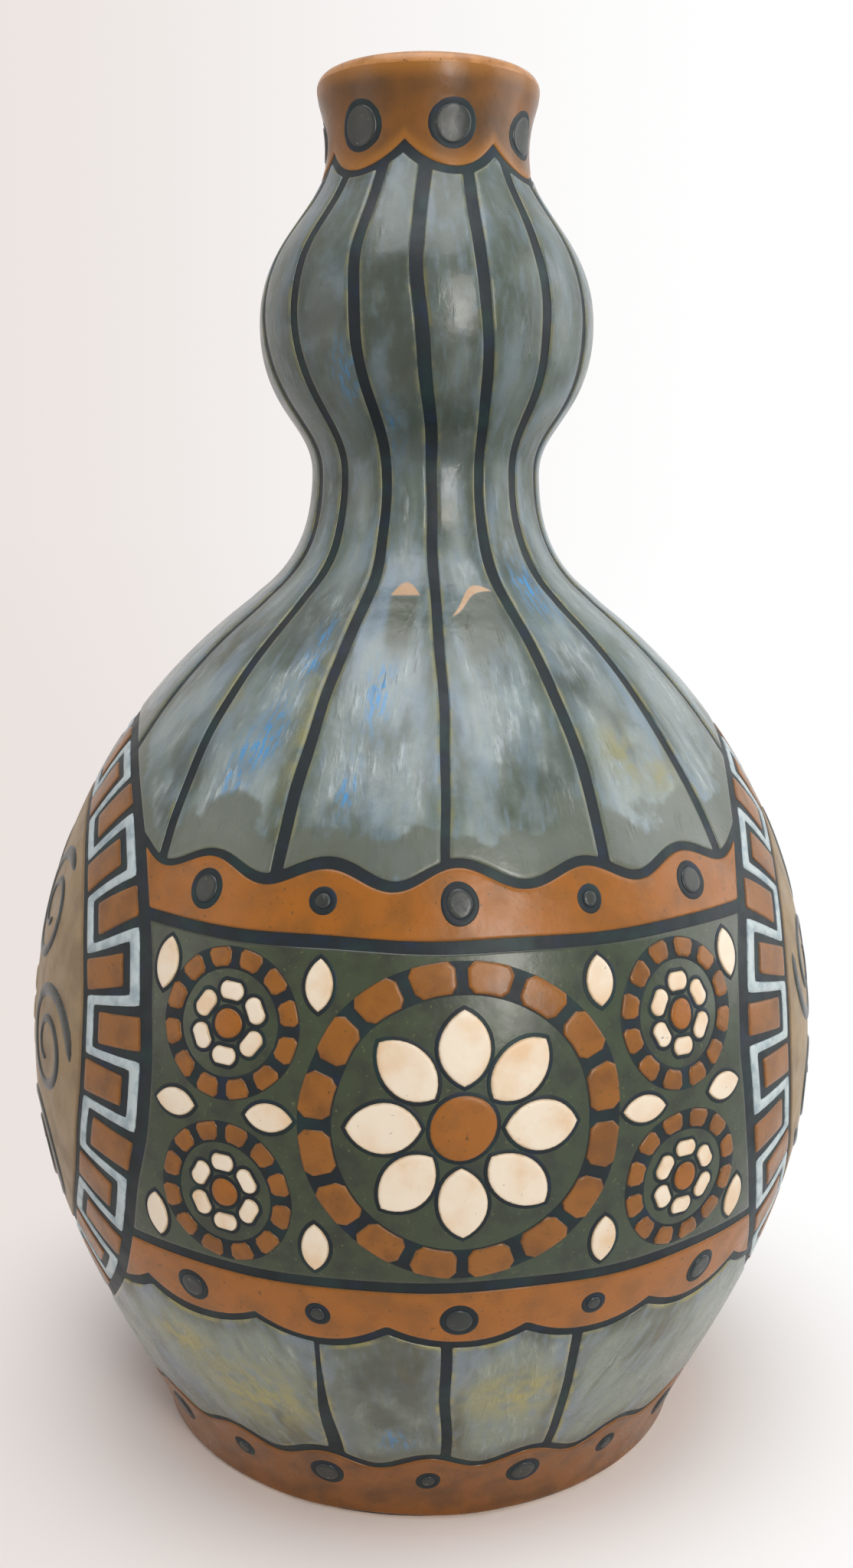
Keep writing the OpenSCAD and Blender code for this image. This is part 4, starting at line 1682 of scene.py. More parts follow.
@dataclass
class Bands:
    """The ochre bands round the belly, the foot and the lip, with their dots."""

    glazier: Glazier
    upper_edge: float = 133.0
    lower_edge: float = 66.5
    foot_bevel: float = 1.0
    line: float = 2.1
    roundel_r: float = 65.45
    roundel_z: float = 97.45
    big: float = 7.6
    small: float = 5.4
    upper_dot_z: float = 139.0
    lower_dot_z: float = 60.25
    foot_dot_z: float = 12.8
    collar_dot_z: float = 287.0
    collar_dot: float = 10.4
    collar_over: float = 0.2
    upper: WavyEdge = WavyEdge(lobes=20, turn=0.0, peak=144.8, rest=141.2, wave=Wave.SOFT)
    lower: WavyEdge = WavyEdge(lobes=20, turn=0.0, peak=54.2, rest=58.0, power=2.2)
    foot: WavyEdge = WavyEdge(lobes=20, turn=-3.4, peak=19.4, rest=16.2, wave=Wave.SOFT, uneven=0.2)
    collar: WavyEdge = WavyEdge(lobes=7, turn=8.0, peak=278.5, rest=283.8, power=1.9, uneven=0.15)

    def border(self, z: Array | float, grow_by: float) -> Array | float:
        """Half width of a roundel at each height.

        Args:
            z: Heights.
            grow_by: Distance by which the roundel is grown.

        Returns:
            The half widths in degrees.
        """
        square = (self.roundel_r + grow_by) ** 2 - (z - self.roundel_z) ** 2
        chord = np.sqrt(np.maximum(square, 0.0))
        return np.degrees(np.arcsin(np.clip(chord / self.glazier.profile.radius(z), 0, 1)))

    def side(self, middle: float, way: int) -> Curve:
        """Side line of a panel along a roundel's border.

        Args:
            middle: Azimuth of the panel's middle.
            way: 1 for the right-hand side, -1 for the left.

        Returns:
            The azimuth by height.
        """
        return lambda z: middle + way * (QUARTER_TURN - self.border(z, self.line))

    def straight(self, at: float) -> Curve:
        """An edge at one height, or a side at one azimuth."""
        return lambda along: np.full(np.shape(along), at)

    def around(self, node: str, bottom: Curve, top: Curve, finish: Finish, cap: bool = True) -> None:
        """Builds a band that goes all the way round.

        Args:
            node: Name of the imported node.
            bottom: Height of its lower edge.
            top: Height of its upper edge.
            finish: Its glaze.
            cap: Whether its upper edge is rounded.
        """

        def marks(az: Array, z: Array) -> dict[str, Array]:
            """Distance from the nearer edge, the only ones that the band has."""
            return {"edge": np.minimum(z - bottom(az), top(az) - z)}

        mesh = self.glazier.mesh()
        for start in (-HALF_TURN, -QUARTER_TURN, 0.0, QUARTER_TURN):
            sides = self.straight(start), self.straight(start + QUARTER_TURN)
            self.glazier.strip(
                mesh, *sides, bottom, top, cols=110, rows=8, sides=False, cap=cap, marks=marks
            )
        mesh.build(node, "ochre_glaze", [finish])

    def between(self, node: str, bottom: Curve, top: Curve) -> None:
        """Builds a band's two stretches between the roundels.

        Args:
            node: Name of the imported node.
            bottom: Height of its lower edge.
            top: Height of its upper edge.
        """
        mesh = self.glazier.mesh()
        for middle in (0.0, HALF_TURN):
            sides = self.side(middle, -1), self.side(middle, 1)
            self.glazier.strip(mesh, *sides, bottom, top, cols=150, rows=6)
        mesh.build(node, "ochre_glaze", [OCHRE])

    def build(self) -> None:
        """Builds and dresses the bands and their dots."""
        profile = self.glazier.profile
        brim = self.straight(profile.lip_z + self.collar_over)
        self.between("upper_band", self.straight(self.upper_edge), self.upper)
        self.between("lower_band", self.lower, self.straight(self.lower_edge))
        self.around("foot_band", self.straight(self.foot_bevel), self.foot, SHADED_FOOT_OCHRE)
        self.around("collar_band", self.collar, brim, COLLAR_OCHRE, cap=False)
        dots = Dots(self.glazier)
        pitch = FULL_TURN / self.upper.lobes
        for node, z in (("upper_band_dots", self.upper_dot_z), ("lower_band_dots", self.lower_dot_z)):
            spots = [
                (middle + i * pitch, z, self.small if i % 2 else self.big)
                for middle in (0.0, HALF_TURN)
                for i in range(-2, 3)
            ]
            dots.build(node, spots)
        for node, edge, z, sizes in (
            ("foot_band_dots", self.foot, self.foot_dot_z, (self.small, self.big)),
            ("collar_dots", self.collar, self.collar_dot_z, (self.collar_dot, self.collar_dot)),
        ):
            step = FULL_TURN / edge.lobes
            dots.build(node, [(edge.turn + i * step, z, sizes[i % 2]) for i in range(edge.lobes)])


@dataclass(frozen=True)
class Drip:
    """A thick run of glaze, smooth and olive, whose upper edge stopped in a pale crest."""

    az: float
    half: float
    z: float
    lean: float
    thick: float
    length: float = 13.0
    bend: float = 0.35
    width: float = 1.1
    taper: float = 0.45
    crisp: float = 3.0

    def marks(self, az: Array, z: Array) -> dict[str, Array]:
        """Works out the finish's values round the run.

        Args:
            az: Azimuths.
            z: Heights.

        Returns:
            Height over the crest's lower line and place along it, as shares of its own size, and
            the share to which the tongue below it shows.
        """
        off = turn_from(az, self.az) / self.half
        below = self.z + self.lean * np.tanh(2 * (off + self.bend)) - z
        deep = np.maximum(below, 0.0) / self.length
        inside = self.width - self.taper * deep - np.abs(off)
        tongue = np.clip(inside * self.crisp, 0, 1) * np.clip((1 - deep) * self.crisp, 0, 1)
        return {"rise": -below / self.thick, "off": off, "tongue": tongue}


@dataclass
class Gores:
    """The upright fields of ash glaze on the neck and on the skirt.

    A spot has an azimuth, a height and two half sizes. A drift or a swell has its size and the
    heights at which it starts and is full, and a wave its size, its pace in height, and the
    phase that each line adds.
    """

    glazier: Glazier
    bands: Bands
    stripes: int = 16
    turn: float = -1.6
    line: float = 2.0
    edge_line: float = 1.7
    drifts: tuple[Triple, ...] = ((-7.0, 208.0, 262.0), (3.2, 258.0, 284.0))
    swells: tuple[Triple, ...] = ((0.3, 215.0, 195.0), (0.3, 215.0, 235.0))
    waves: tuple[Triple, ...] = ((1.2, 31.0, 2.1), (0.2, 12.0, 1.1))
    ripple: Triple = (0.07, 5.3, 1.9)
    front_share: float = 0.3
    skirt_wave: Pair = (0.5, 9.0)
    skirt_shift: float = -1.0
    skirt_cols: int = 14
    ring_from: float = 20.0
    ring_points: int = 600
    neck_reach: float = 60.0
    skirt_reach: float = 62.0
    drips: tuple[Drip, ...] = (
        Drip(az=-11.6, half=5.0, z=192.3, lean=0.0, thick=2.6),
        Drip(az=10.6, half=8.0, z=190.4, lean=2.5, thick=1.7),
    )
    blues: Spots = (
        (-31.0, 182.0, 2.0, 5.0),
        (-33.5, 166.0, 2.6, 5.0),
        (-37.0, 160.0, 2.4, 5.0),
        (-14.0, 174.0, 2.2, 5.5),
        (-20.0, 226.0, 2.5, 5.0),
        (-33.0, 238.0, 2.5, 6.0),
        (34.0, 193.0, 3.0, 5.0),
        (-17.0, 158.0, 1.5, 4.0),
        (-9.0, 26.0, 3.0, 3.0),
        (148.0, 170.0, 2.5, 6.0),
        (-160.0, 184.0, 2.5, 6.0),
    )
    mosses: Spots = (
        (-26.5, 168.0, 2.2, 12.0),
        (31.0, 163.0, 5.0, 5.0),
        (38.0, 158.0, 5.0, 3.0),
        (-47.0, 172.0, 3.0, 4.0),
        (9.0, 39.0, 9.0, 6.0),
        (-30.0, 34.0, 12.0, 8.0),
        (-42.0, 44.0, 7.0, 5.0),
        (160.0, 160.0, 5.0, 6.0),
    )
    dims: Spots = (
        (-50.0, 156.0, 8.0, 9.0),
        (17.0, 160.0, 6.0, 8.0),
        (21.0, 180.0, 4.0, 7.0),
        (34.0, 166.0, 4.0, 6.0),
        (-34.0, 250.0, 9.0, 10.0),
        (-52.0, 246.0, 8.0, 14.0),
        (-17.0, 250.0, 5.0, 13.0),
        (-8.0, 246.0, 5.0, 16.0),
        (-22.0, 226.0, 8.0, 7.0),
        (8.0, 226.0, 4.0, 9.0),
        (33.0, 246.0, 4.0, 7.0),
        (20.0, 217.0, 3.0, 9.0),
        (-10.0, 36.0, 11.0, 16.0),
        (-9.0, 44.0, 6.0, 8.0),
        (28.0, 176.0, 5.0, 6.0),
        (-38.0, 188.0, 8.0, 6.0),
        (150.0, 240.0, 8.0, 12.0),
        (-140.0, 165.0, 10.0, 12.0),
        (110.0, 180.0, 9.0, 8.0),
    )

    def marks(self, az: Array, z: Array) -> dict[str, Array]:
        """Works out the ash glaze's values over one field.

        Args:
            az: Azimuths.
            z: Heights.

        Returns:
            Its blue streaks, moss, darker patches and thick runs, by name.
        """
        places = {"blue": self.blues, "moss": self.mosses, "dim": self.dims}
        found = {name: self.glazier.spots(spots, az, z) for name, spots in places.items()}
        for drip in self.drips:
            if abs(turn_from(az.mean(), drip.az)) < HALF_TURN / self.stripes:
                found |= drip.marks(az, z)
        return found

    def stripe(self, k: int) -> Curve:
        """Azimuth by height of an upright line, which drifts over the bulb as the hand moved on.

        Args:
            k: Number of the line, counted from the middle of the front.

        Returns:
            The line.
        """
        steady = 1 if k % self.stripes else self.front_share

        def az(z: Array) -> Array:
            """Finds the line.

            Args:
                z: Heights.

            Returns:
                Its azimuth at each.
            """
            drift = sum(size * smooth_rise(z, start, end) for size, start, end in self.drifts)
            hand = sum(size * np.sin(z / pace + phase * k) for size, pace, phase in self.waves)
            return self.turn + k * FULL_TURN / self.stripes + drift + hand * steady

        return az

    def side(self, k: int, way: int) -> Curve:
        """Edge of the glaze beside a line.

        Args:
            k: Number of the line.
            way: 1 for the edge on its right, -1 for its left.

        Returns:
            The azimuth by height.
        """
        line = self.stripe(k)
        size, pace, phase = self.ripple

        def az(z: Array) -> Array:
            """Finds the edge.

            Args:
                z: Heights.

            Returns:
                Its azimuth at each.
            """
            swell = sum(more * smooth_rise(z, start, end) for more, start, end in self.swells)
            half = (self.line + swell) / 2 + size * np.sin(z / pace + phase * k + way)
            return line(z) + way * np.degrees(half / self.glazier.profile.radius(z))

        return az

    def past_roundels(self, way: int, band: WavyEdge, reach: float) -> Curve:
        """Edge of the glaze that keeps clear of a band and of the roundels.

        Args:
            way: 1 for an edge over them, -1 for one under them.
            band: The band's own edge.
            reach: Turn from a panel's middle at which the band has ended.

        Returns:
            The height by azimuth.
        """
        bands = self.bands
        near_band = ParallelEdge(band, self.edge_line, way, self.glazier.profile)
        start, end = self.ring_from, bands.roundel_r + bands.line
        rise = np.linspace(end, start, self.ring_points)
        half = bands.border(bands.roundel_z + way * rise, bands.line)

        def edge(az: Array) -> Array:
            """Finds the edge.

            Args:
                az: Azimuths.

            Returns:
                Its height at each.
            """
            off = np.abs((az + QUARTER_TURN) % HALF_TURN - QUARTER_TURN)
            ring = way * bands.roundel_z + np.interp(QUARTER_TURN - off, half, rise)
            past_ring = np.where(off < QUARTER_TURN - half.max(), -np.inf, ring)
            past_band = np.where(off < reach, way * near_band(az), -np.inf)
            return way * np.maximum(past_ring, past_band)

        return edge

    def build_neck(self) -> None:
        """Builds and dresses the neck's sixteen fields."""
        profile, bands = self.glazier.profile, self.bands
        mesh = self.glazier.mesh()
        low = self.past_roundels(1, bands.upper, self.neck_reach)
        top = ParallelEdge(bands.collar, self.edge_line, -1, profile)
        for k in range(self.stripes):
            sides = self.side(k, 1), self.side(k + 1, -1)
            self.glazier.strip(mesh, *sides, low, top, cols=18, rows=120, marks=self.marks)
        mesh.build("neck_gores", "lustre_glaze", [LUSTRE])

    def build_skirt(self) -> None:
        """Builds and dresses the fields between the lower band and the foot band."""
        profile, bands = self.glazier.profile, self.bands
        mesh = self.glazier.mesh()
        low = ParallelEdge(bands.foot, self.edge_line, 1, profile)
        high = self.past_roundels(-1, bands.lower, self.skirt_reach)
        pitch = FULL_TURN / bands.lower.lobes
        for middle in (0.0, HALF_TURN):
            cuts = [middle + i * pitch + self.skirt_shift for i in (-1, 0, 1)]
            for left, right in zip(cuts, cuts[1:] + [cuts[0] + HALF_TURN]):
                sides = self.upright(left, 1), self.upright(right, -1)
                cols = int(self.skirt_cols + right - left)
                self.glazier.strip(mesh, *sides, low, high, cols=cols, rows=22, marks=self.marks)
        mesh.build("skirt_gores", "lustre_glaze", [SKIRT])

    def upright(self, at: float, way: int) -> Curve:
        """Edge of the glaze beside a straight upright line of the skirt.

        Args:
            at: Azimuth of the line.
            way: 1 for the edge on its right, -1 for its left.

        Returns:
            The azimuth by height.
        """
        size, pace = self.skirt_wave

        def az(z: Array) -> Array:
            """The edge's azimuth at each height."""
            hand = size * np.sin(z / pace + at)
            return at + hand + way * np.degrees(self.line / 2 / self.glazier.profile.radius(z))

        return az


@dataclass
class Rosette:
    """A flower of pointed petals round a heart, with or without a ring of blocks."""

    glazier: Glazier
    radius: float
    block: float
    petals: int
    gap: float = 1.3
    heart_share: float = 0.2
    wide_share: float = 0.86
    line_share: float = 0.6
    belt_out: float = 0.55
    belt_in: float = 0.9
    block_base: float = 0.35

    @property
    def heart(self) -> float:
        """Radius of the heart."""
        return self.radius * self.heart_share

    def petal_outlines(self) -> list[Array]:
        """Draws the petals round the origin.

        Returns:
            The outline of each.
        """
        start = self.heart + self.gap
        length = self.radius - self.block - 2 * self.gap - start
        wide = 2 * (start + length / 2) * math.sin(math.pi / self.petals) * self.wide_share
        step = FULL_TURN / self.petals
        return [turned(leaf(length, wide) + np.array([0, start]), i * step) for i in range(self.petals)]

    def add_petals(self, mesh: PatchMesh, az: float, z: float) -> None:
        """Lays the petals, each inside its drawn line."""
        for outline in self.petal_outlines():
            self.glazier.rimmed(mesh, az, z, outline, outline.mean(0), self.gap * self.line_share)

    def add_heart(self, mesh: PatchMesh, az: float, z: float) -> None:
        """Lays the heart inside its drawn line."""
        outline = circle(self.heart, count=32, uneven=0.03, seed=az)
        self.glazier.rimmed(mesh, az, z, outline, np.zeros(2), self.gap * self.line_share)

    def add_blocks(self, mesh: PatchMesh, az: float, z: float) -> None:
        """Lays the ring of blocks on a belt of slip.

        Args:
            mesh: Where they go.
            az: Azimuth that the ring faces.
            z: Height of its middle.
        """
        glazier, inner, outer = self.glazier, self.radius - self.block, self.radius
        count = round(math.pi * self.radius / self.block)
        step = FULL_TURN / count
        rims = (circle(r, count=120) for r in (outer + self.belt_out, inner - self.belt_in))
        glazier.belt(mesh, az, z, *rims, top=glazier.motif_rim, finish=1)
        top = glazier.motif_top
        for i in range(count):
            outline = sector(inner, outer, i * step, (i + 1) * step, self.gap)
            glazier.star(mesh, az, z, outline, outline.mean(0), base=self.block_base, top=top)


@dataclass
class Panel:
    """A dark green field with a large rosette, four small ones and leaves between them.

    A leaf has its place out from the small rosettes and up from the middle, as shares of the
    small and of the large radius, and its number of quarter turns.
    """

    glazier: Glazier
    bands: Bands
    middle: float
    prefix: str
    rosette_gap: float = 0.6
    small_gap: float = 4.0
    side_gap: float = 3.5
    block_share: float = 0.2
    small_block_share: float = 0.27
    width_share: float = 0.485
    leaf_shares: tuple[tuple[float, float, int], ...] = (
        (-0.69, 0.0, 1),
        (0.77, 0.0, 1),
        (-1.3, 0.82, 0),
        (-1.3, -0.82, 0),
        (1.15, 0.82, 0),
        (1.15, -0.82, 0),
    )
    leaf_size_shares: Pair = (0.68, 0.39)
    leaf_line: float = 0.8

    def __post_init__(self) -> None:
        """Works out the rosettes' sizes and places from the field that they fill."""
        bands = self.bands
        self.low, self.high = bands.lower_edge + bands.line, bands.upper_edge - bands.line
        self.mid_z = (self.low + self.high) / 2
        half_h = (self.high - self.low) / 2
        self.mid_r = float(self.glazier.profile.radius(self.mid_z))
        half_w = self.mid_r * math.radians(QUARTER_TURN - float(bands.border(self.mid_z, bands.line)))
        self.large_r = min(half_h, half_w * self.width_share) - self.rosette_gap
        self.small_r = (self.large_r - self.small_gap / 2) / 2
        self.small_at = half_w - self.side_gap - self.small_r

    def wall_az(self, at: float) -> float:
        """Azimuth of a place at a distance along the wall from the panel's middle."""
        return math.degrees(at / self.mid_r)

    def build(self) -> None:
        """Builds and dresses the field and its motifs."""
        glazier, bands = self.glazier, self.bands
        ground = glazier.mesh()
        sides = bands.side(self.middle, -1), bands.side(self.middle, 1)
        edges = bands.straight(self.low), bands.straight(self.high)
        glazier.strip(ground, *sides, *edges, cols=90, rows=46)
        ground.build(self.prefix + "_field", "green_glaze", [GREEN])
        large = Rosette(glazier, self.large_r, block=self.large_r * self.block_share, petals=8)
        small = Rosette(glazier, self.small_r, block=self.small_r * self.small_block_share, petals=6)
        rise = self.large_r - self.small_r
        places = [(large, self.middle, self.mid_z)]
        for side in (-1, 1):
            at = self.middle + side * self.wall_az(self.small_at)
            places += [(small, at, self.mid_z - rise), (small, at, self.mid_z + rise)]
        blocks, petals, hearts, leaves = (glazier.mesh() for _ in range(4))
        for rosette, az, z in places:
            rosette.add_blocks(blocks, az, z)
            rosette.add_petals(petals, az, z)
            rosette.add_heart(hearts, az, z)
        length, wide = (share * self.small_r for share in self.leaf_size_shares)
        for side in (-1, 1):
            for out, up, quarter in self.leaf_shares:
                centred = leaf(length, wide) - np.array([0, length / 2])
                outline = turned(centred, -side * QUARTER_TURN * quarter)
                az = self.middle + side * self.wall_az(self.small_at + out * self.small_r)
                z = self.mid_z + up * self.large_r
                glazier.rimmed(leaves, az, z, outline, np.zeros(2), self.leaf_line)
        blocks.build(self.prefix + "_blocks", "ochre_glaze", [BLOCK_OCHRE, SLIP])
        petals.build(self.prefix + "_petals", "cream_glaze", [CREAM, SLIP])
        hearts.build(self.prefix + "_hearts", "ochre_glaze", [OCHRE, SLIP])
        leaves.build(self.prefix + "_leaves", "cream_glaze", [CREAM, SLIP])


@dataclass
class Roundel:
    """A round side field in a key border, with volutes round a small rosette.

    Leg and bay shares place points along the key line and its blocks, and the disc's rim and
    rings place those across the field.
    """

    glazier: Glazier
    bands: Bands
    middle: float
    prefix: str
    border: float = 13.5
    fine: float = 1.3
    key_line: float = 2.2
    key_pitch: float = 23.0
    leg_shares: tuple[float, ...] = (0.0, 0.06, 0.25, 0.5, 0.75, 0.94)
    bay_shares: tuple[float, ...] = (0.0, 0.08, 0.35, 0.65, 0.92, 1.0)
    volutes: int = 7
    volute_r_share: float = 0.66
    rosette_share: float = 0.3
    volute_share: float = 0.44
    volute_turns: float = 1.75
    volute_points: int = 70
    volute_half: float = 0.13
    volute_thin: float = 0.6
    volute_wind: float = 0.8
    tip_shares: Pair = (0.04, 0.03)
    tip_least: float = 0.05
    disc_rim: tuple[float, ...] = (0.0, 0.1, 0.3, 0.6, 1.2)
    disc_rings: tuple[float, float, int] = (0.95, 0.05, 19)

    def __post_init__(self) -> None:
        """Works out the border's sizes from the roundel's radius."""
        self.tondo_r = self.bands.roundel_r - self.border - self.fine
        self.key_r = self.bands.roundel_r - self.border / 2
        self.swing = (self.border - self.key_line) / 2
        self.count = round(2 * math.pi * self.key_r / self.key_pitch)
        self.step = FULL_TURN / self.count

    def key_path(self, grow_by: float) -> Array:
        """One side of the key line: a square wave round the roundel.

        Args:
            grow_by: Distance of this side from the line's middle.

        Returns:
            The points, anticlockwise.
        """
        lean = math.copysign(1, grow_by) * math.degrees(abs(grow_by) / self.key_r)
        high, low = self.key_r + self.swing + grow_by, self.key_r - self.swing + grow_by
        corners = []
        for i in range(self.count):
            a, half = (i - 0.25) * self.step, self.step / 2
            corners += [(high, a - lean), (high, a + half + lean)]
            corners += [(low, a + half + lean), (low, a + self.step - lean)]
        first_r, first_a = corners[0]
        points = []
        for (r0, a0), (r1, a1) in zip(corners, corners[1:] + [(first_r, first_a + FULL_TURN)]):
            for t in self.leg_shares:
                r, a = r0 + (r1 - r0) * t, math.radians(a0 + (a1 - a0) * t)
                points.append((r * math.cos(a), r * math.sin(a)))
        return soften(np.array(points))

    def key_bays(self) -> list[Array]:
        """Draws the blocks in the key line's bays, on both sides of it.

        Returns:
            The outline of each.
        """
        gap = self.key_line / 2 + self.fine
        bay = 2 * self.key_r * math.sin(math.radians(self.step / 4)) - 2 * gap
        spans = (
            (0.0, self.tondo_r + self.fine, self.key_r + self.swing - gap),
            (0.5, self.key_r - self.swing + gap, self.bands.roundel_r),
        )
        outlines = []
        for i in range(self.count):
            for share, r0, r1 in spans:
                shares = np.array(self.bay_shares)
                x, y = (s + (e - s) * shares for s, e in ((r0, r1), (-bay / 2, bay / 2)))
                ring = [(a, -bay / 2) for a in x] + [(r1, b) for b in y[1:]]
                ring += [(a, bay / 2) for a in x[::-1][1:]] + [(r0, b) for b in y[::-1][1:-1]]
                outlines.append(turned(soften(np.array(ring)), (i + share) * self.step))
        return outlines

    def volute(self) -> tuple[Array, Array]:
        """Draws a ribbon that winds in and thins towards its eye.

        Returns:
            The points of its outer and of its inner side.
        """
        r = 2 * math.pi * self.tondo_r * self.volute_r_share / self.volutes * self.volute_share
        s = np.linspace(0, 1, self.volute_points)
        t = 2 * math.pi * self.volute_turns * s
        way = np.stack([np.cos(t), np.sin(t)], 1)
        tips = [np.clip(x / tip, self.tip_least, 1) for x, tip in zip((s, 1 - s), self.tip_shares)]
        half = r * self.volute_half * (1 - self.volute_thin * s) * np.sqrt(tips[0] * tips[1])
        path = r * (1 - self.volute_wind * s)
        return (path + half)[:, None] * way, (path - half)[:, None] * way

    def build(self) -> None:
        """Builds and dresses the field, its border and its motifs."""
        glazier, az, z = self.glazier, self.middle, self.bands.roundel_z
        tondo = glazier.mesh()
        rim = (1 - x / self.tondo_r for x in self.disc_rim)
        disc = replace(glazier, shrinks=(*rim, *np.linspace(*self.disc_rings)))
        disc.star(tondo, az, z, circle(self.tondo_r, count=200), base=0.0, top=glazier.pad)
        tondo.build(self.prefix + "_tondo", "tan_glaze", [TAN])
        line = glazier.mesh()
        sides = self.key_path(self.key_line / 2), self.key_path(-self.key_line / 2)
        glazier.belt(line, az, z, *sides, base=0.0, top=glazier.pad)
        line.build(self.prefix + "_key_line", "key_glaze", [KEY])
        blocks = glazier.mesh()
        for outline in self.key_bays():
            glazier.star(blocks, az, z, outline, outline.mean(0), base=0.0, top=glazier.pad)
        blocks.build(self.prefix + "_key_blocks", "ochre_glaze", [BLOCK_OCHRE])
        volutes = glazier.mesh()
        outer, inner = self.volute()
        shift = np.array([self.tondo_r * self.volute_r_share, 0.0])
        for i in range(self.volutes):
            sides = (turned(edge + shift, i * FULL_TURN / self.volutes) for edge in (outer, inner))
            glazier.belt(volutes, az, z, *sides, top=glazier.motif_top, closed=False)
        volutes.build(self.prefix + "_volutes", "dot_glaze", [DOT])
        flower = Rosette(glazier, self.tondo_r * self.rosette_share, block=0.0, petals=8)
        rosette = glazier.mesh()
        flower.add_petals(rosette, az, z)
        flower.add_heart(rosette, az, z)
        rosette.build(self.prefix + "_rosette", "cream_glaze", [CREAM, SLIP])


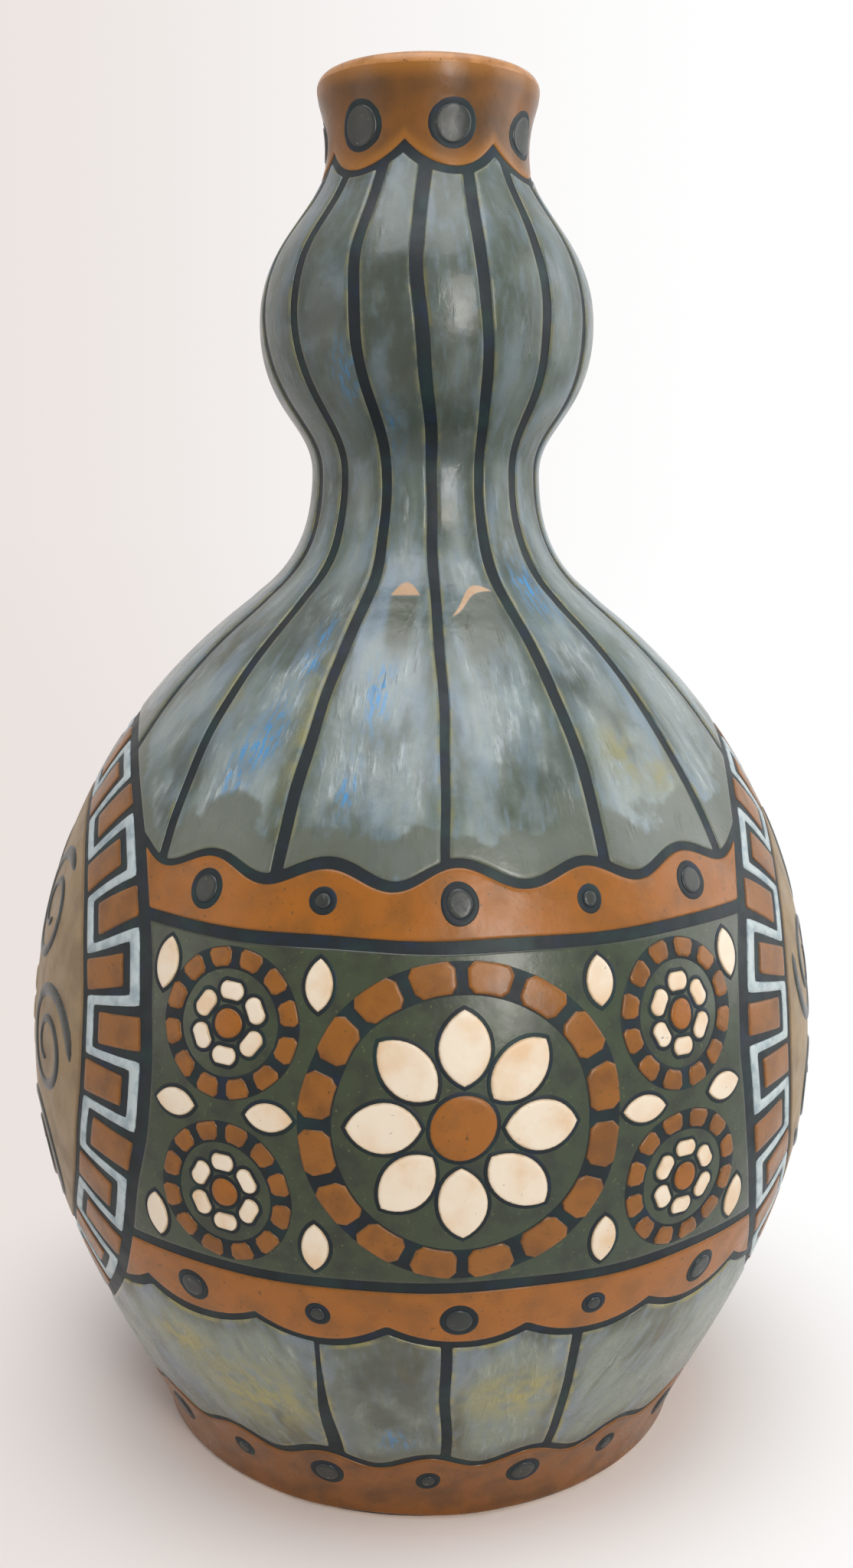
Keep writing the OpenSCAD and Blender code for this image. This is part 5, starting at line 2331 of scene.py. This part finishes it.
@dataclass
class Studio:
    """The pale table, the soft window light and the camera, whose yaw and roll are in radians.

    A lamp has its name, place, size, power in watts and colour.
    """

    view_turn: float = -5.0
    distance: float = 347.0
    eye: float = 211.0
    pitch: float = 10.5
    yaw: float = 0.0021
    roll: float = 0.0076
    lens: float = 34.72
    sensor: float = 36.0
    paper: str = "#fbf4f0"
    shaded: str = "#ebe3df"
    lit: str = "#ffffff"
    ambient: float = 0.3
    floor_near: float = 55.0
    floor_far: float = 150.0
    table_half: float = 8000.0
    aim_z: float = 150.0
    near_clip: float = 10.0
    tone_from: float = -0.25
    tone_to: float = 0.3
    lamps: tuple[tuple[str, Triple, Pair, float, str], ...] = (
        ("window", (270.0, -860.0, 430.0), (240.0, 560.0), 3.6, "#fffaf4"),
        ("sky", (-40.0, -160.0, 950.0), (700.0, 700.0), 4.5, "#f8f9ff"),
        ("left_fill", (-850.0, -250.0, 320.0), (500.0, 700.0), 0.9, "#fff6f2"),
        ("right_fill", (760.0, -60.0, 420.0), (600.0, 800.0), 2.6, "#ffffff"),
    )

    def place_camera(self) -> None:
        """Puts the camera where the photograph was taken."""
        level, down = math.cos(math.radians(self.pitch)), math.sin(math.radians(self.pitch))
        forth, aside = math.cos(self.yaw), math.sin(self.yaw)
        ahead, right = Vector((aside * level, forth * level, -down)), Vector((forth, -aside, 0.0))
        up = right.cross(ahead)
        cos, sin = math.cos(self.roll), math.sin(self.roll)
        right, up = cos * right + sin * up, -sin * right + cos * up
        axes = Matrix((right, up, -ahead)).transposed().to_4x4()
        data = bpy.data.cameras.new("camera")
        data.lens, data.sensor_fit, data.sensor_height = self.lens, "VERTICAL", self.sensor
        data.clip_start = self.near_clip * MM
        camera = bpy.data.objects.new("camera", data)
        bpy.context.scene.collection.objects.link(camera)
        place = Matrix.Translation(Vector((0.0, -self.distance, self.eye)) * MM) @ axes
        camera.matrix_world = Matrix.Rotation(math.radians(self.view_turn), 4, "Z") @ place
        bpy.context.scene.camera = camera

    def hang_lamps(self) -> None:
        """Hangs the soft lamps, each turned towards the vase."""
        for name, at, size, power, colour in self.lamps:
            data = bpy.data.lights.new(name, "AREA")
            data.shape, data.size, data.size_y = "RECTANGLE", size[0] * MM, size[1] * MM
            data.energy = power
            data.color = linear(colour)[:3]
            lamp = bpy.data.objects.new(name, data)
            bpy.context.scene.collection.objects.link(lamp)
            lamp.location = Vector(at) * MM
            way = Vector((0.0, 0.0, self.aim_z * MM)) - lamp.location
            lamp.rotation_euler = way.to_track_quat("-Z", "Y").to_euler()

    def seen(self, tree: Tree) -> Socket:
        """Adds a mask of what is seen, straight, in a reflection or through glass.

        Args:
            tree: The node tree.

        Returns:
            The mask's output.
        """
        rays = add_node(tree, "LightPath").outputs
        shown = rays["Is Camera Ray"]
        for kind in ("Is Glossy Ray", "Is Transmission Ray"):
            shown = add_node(tree, "Math", {0: shown, 1: rays[kind]}, operation="MAXIMUM").outputs[0]
        return shown

    def paper_tone(self, tree: Tree, place: Socket) -> Socket:
        """Adds the pale ground's tone, which grows whiter towards the window's side.

        Args:
            tree: The node tree.
            place: A point on the table, or a way into the room.

        Returns:
            The colour's output.
        """
        level = add_node(tree, "VectorMath", {0: place, 1: (1.0, 1.0, 0.0)}, operation="MULTIPLY")
        way = add_node(tree, "VectorMath", {0: level.outputs[0]}, operation="NORMALIZE")
        side = add_node(tree, "SeparateXYZ", {0: way.outputs[0]})
        span = {0: side.outputs["X"], 1: self.tone_from, 2: self.tone_to}
        share = add_node(tree, "MapRange", span, **SMOOTH).outputs[0]
        tones = {0: share, UNDER: linear(self.shaded), OVER: linear(self.lit)}
        return add_node(tree, "Mix", tones, data_type="RGBA").outputs[MIXED]

    def lay_table(self) -> None:
        """Lays the pale table, which keeps the shadow near the foot."""
        mesh = bpy.data.meshes.new("table")
        r = self.table_half * MM
        mesh.from_pydata([(-r, -r, 0), (r, -r, 0), (r, r, 0), (-r, r, 0)], [], [(0, 1, 2, 3)])
        material = bpy.data.materials.new("pale_table")
        material.use_nodes = True
        tree = material.node_tree
        tree.nodes.clear()
        place = add_node(tree, "TexCoord").outputs["Object"]
        far = add_node(tree, "VectorMath", {0: place}, operation="LENGTH").outputs["Value"]
        span = {0: far, 1: self.floor_near * MM, 2: self.floor_far * MM}
        fade = add_node(tree, "MapRange", span, **SMOOTH)
        share = add_node(tree, "Math", {0: fade.outputs[0], 1: self.seen(tree)}, operation="MULTIPLY")
        cloth = add_node(tree, "BsdfDiffuse", {"Color": linear(self.paper)})
        glow = add_node(tree, "Emission", {"Color": self.paper_tone(tree, place), "Strength": 1.0})
        mix = add_node(tree, "MixShader", {0: share.outputs[0], 1: cloth.outputs[0], 2: glow.outputs[0]})
        add_node(tree, "OutputMaterial", {"Surface": mix.outputs[0]})
        mesh.materials.append(material)
        table = bpy.data.objects.new("table", mesh)
        bpy.context.scene.collection.objects.link(table)

    def paint_room(self) -> None:
        """Sets the pale room, which gives the object no more than its ambient light."""
        world = bpy.data.worlds.new("pale_room")
        world.use_nodes = True
        tree = world.node_tree
        tree.nodes.clear()
        light = add_node(tree, "Background", {"Color": linear(self.lit), "Strength": self.ambient})
        way = add_node(tree, "TexCoord").outputs["Generated"]
        room = add_node(tree, "Background", {"Color": self.paper_tone(tree, way), "Strength": 1.0})
        lights = {0: self.seen(tree), 1: light.outputs[0], 2: room.outputs[0]}
        mix = add_node(tree, "MixShader", lights)
        add_node(tree, "OutputWorld", {"Surface": mix.outputs[0]})
        bpy.context.scene.world = world

    def build(self) -> None:
        """Sets up the camera, the lamps, the table and the room."""
        self.place_camera()
        self.hang_lamps()
        self.lay_table()
        self.paint_room()
        bpy.context.scene.view_settings.view_transform = "Standard"


def main() -> None:
    """Builds the vase piece by piece."""
    logging.basicConfig(level=logging.INFO, format="%(name)s: %(message)s")
    glazier = Glazier()
    bands = Bands(glazier)
    gores = Gores(glazier, bands)
    ThrownBody(glazier).build()
    bands.build()
    gores.build_neck()
    gores.build_skirt()
    for middle, prefix in ((0.0, "front"), (HALF_TURN, "back")):
        Panel(glazier, bands, middle, prefix).build()
    for middle, prefix in ((-QUARTER_TURN, "left"), (QUARTER_TURN, "right")):
        Roundel(glazier, bands, middle, prefix).build()
    Studio().build()


if __name__ == "__main__":
    main()
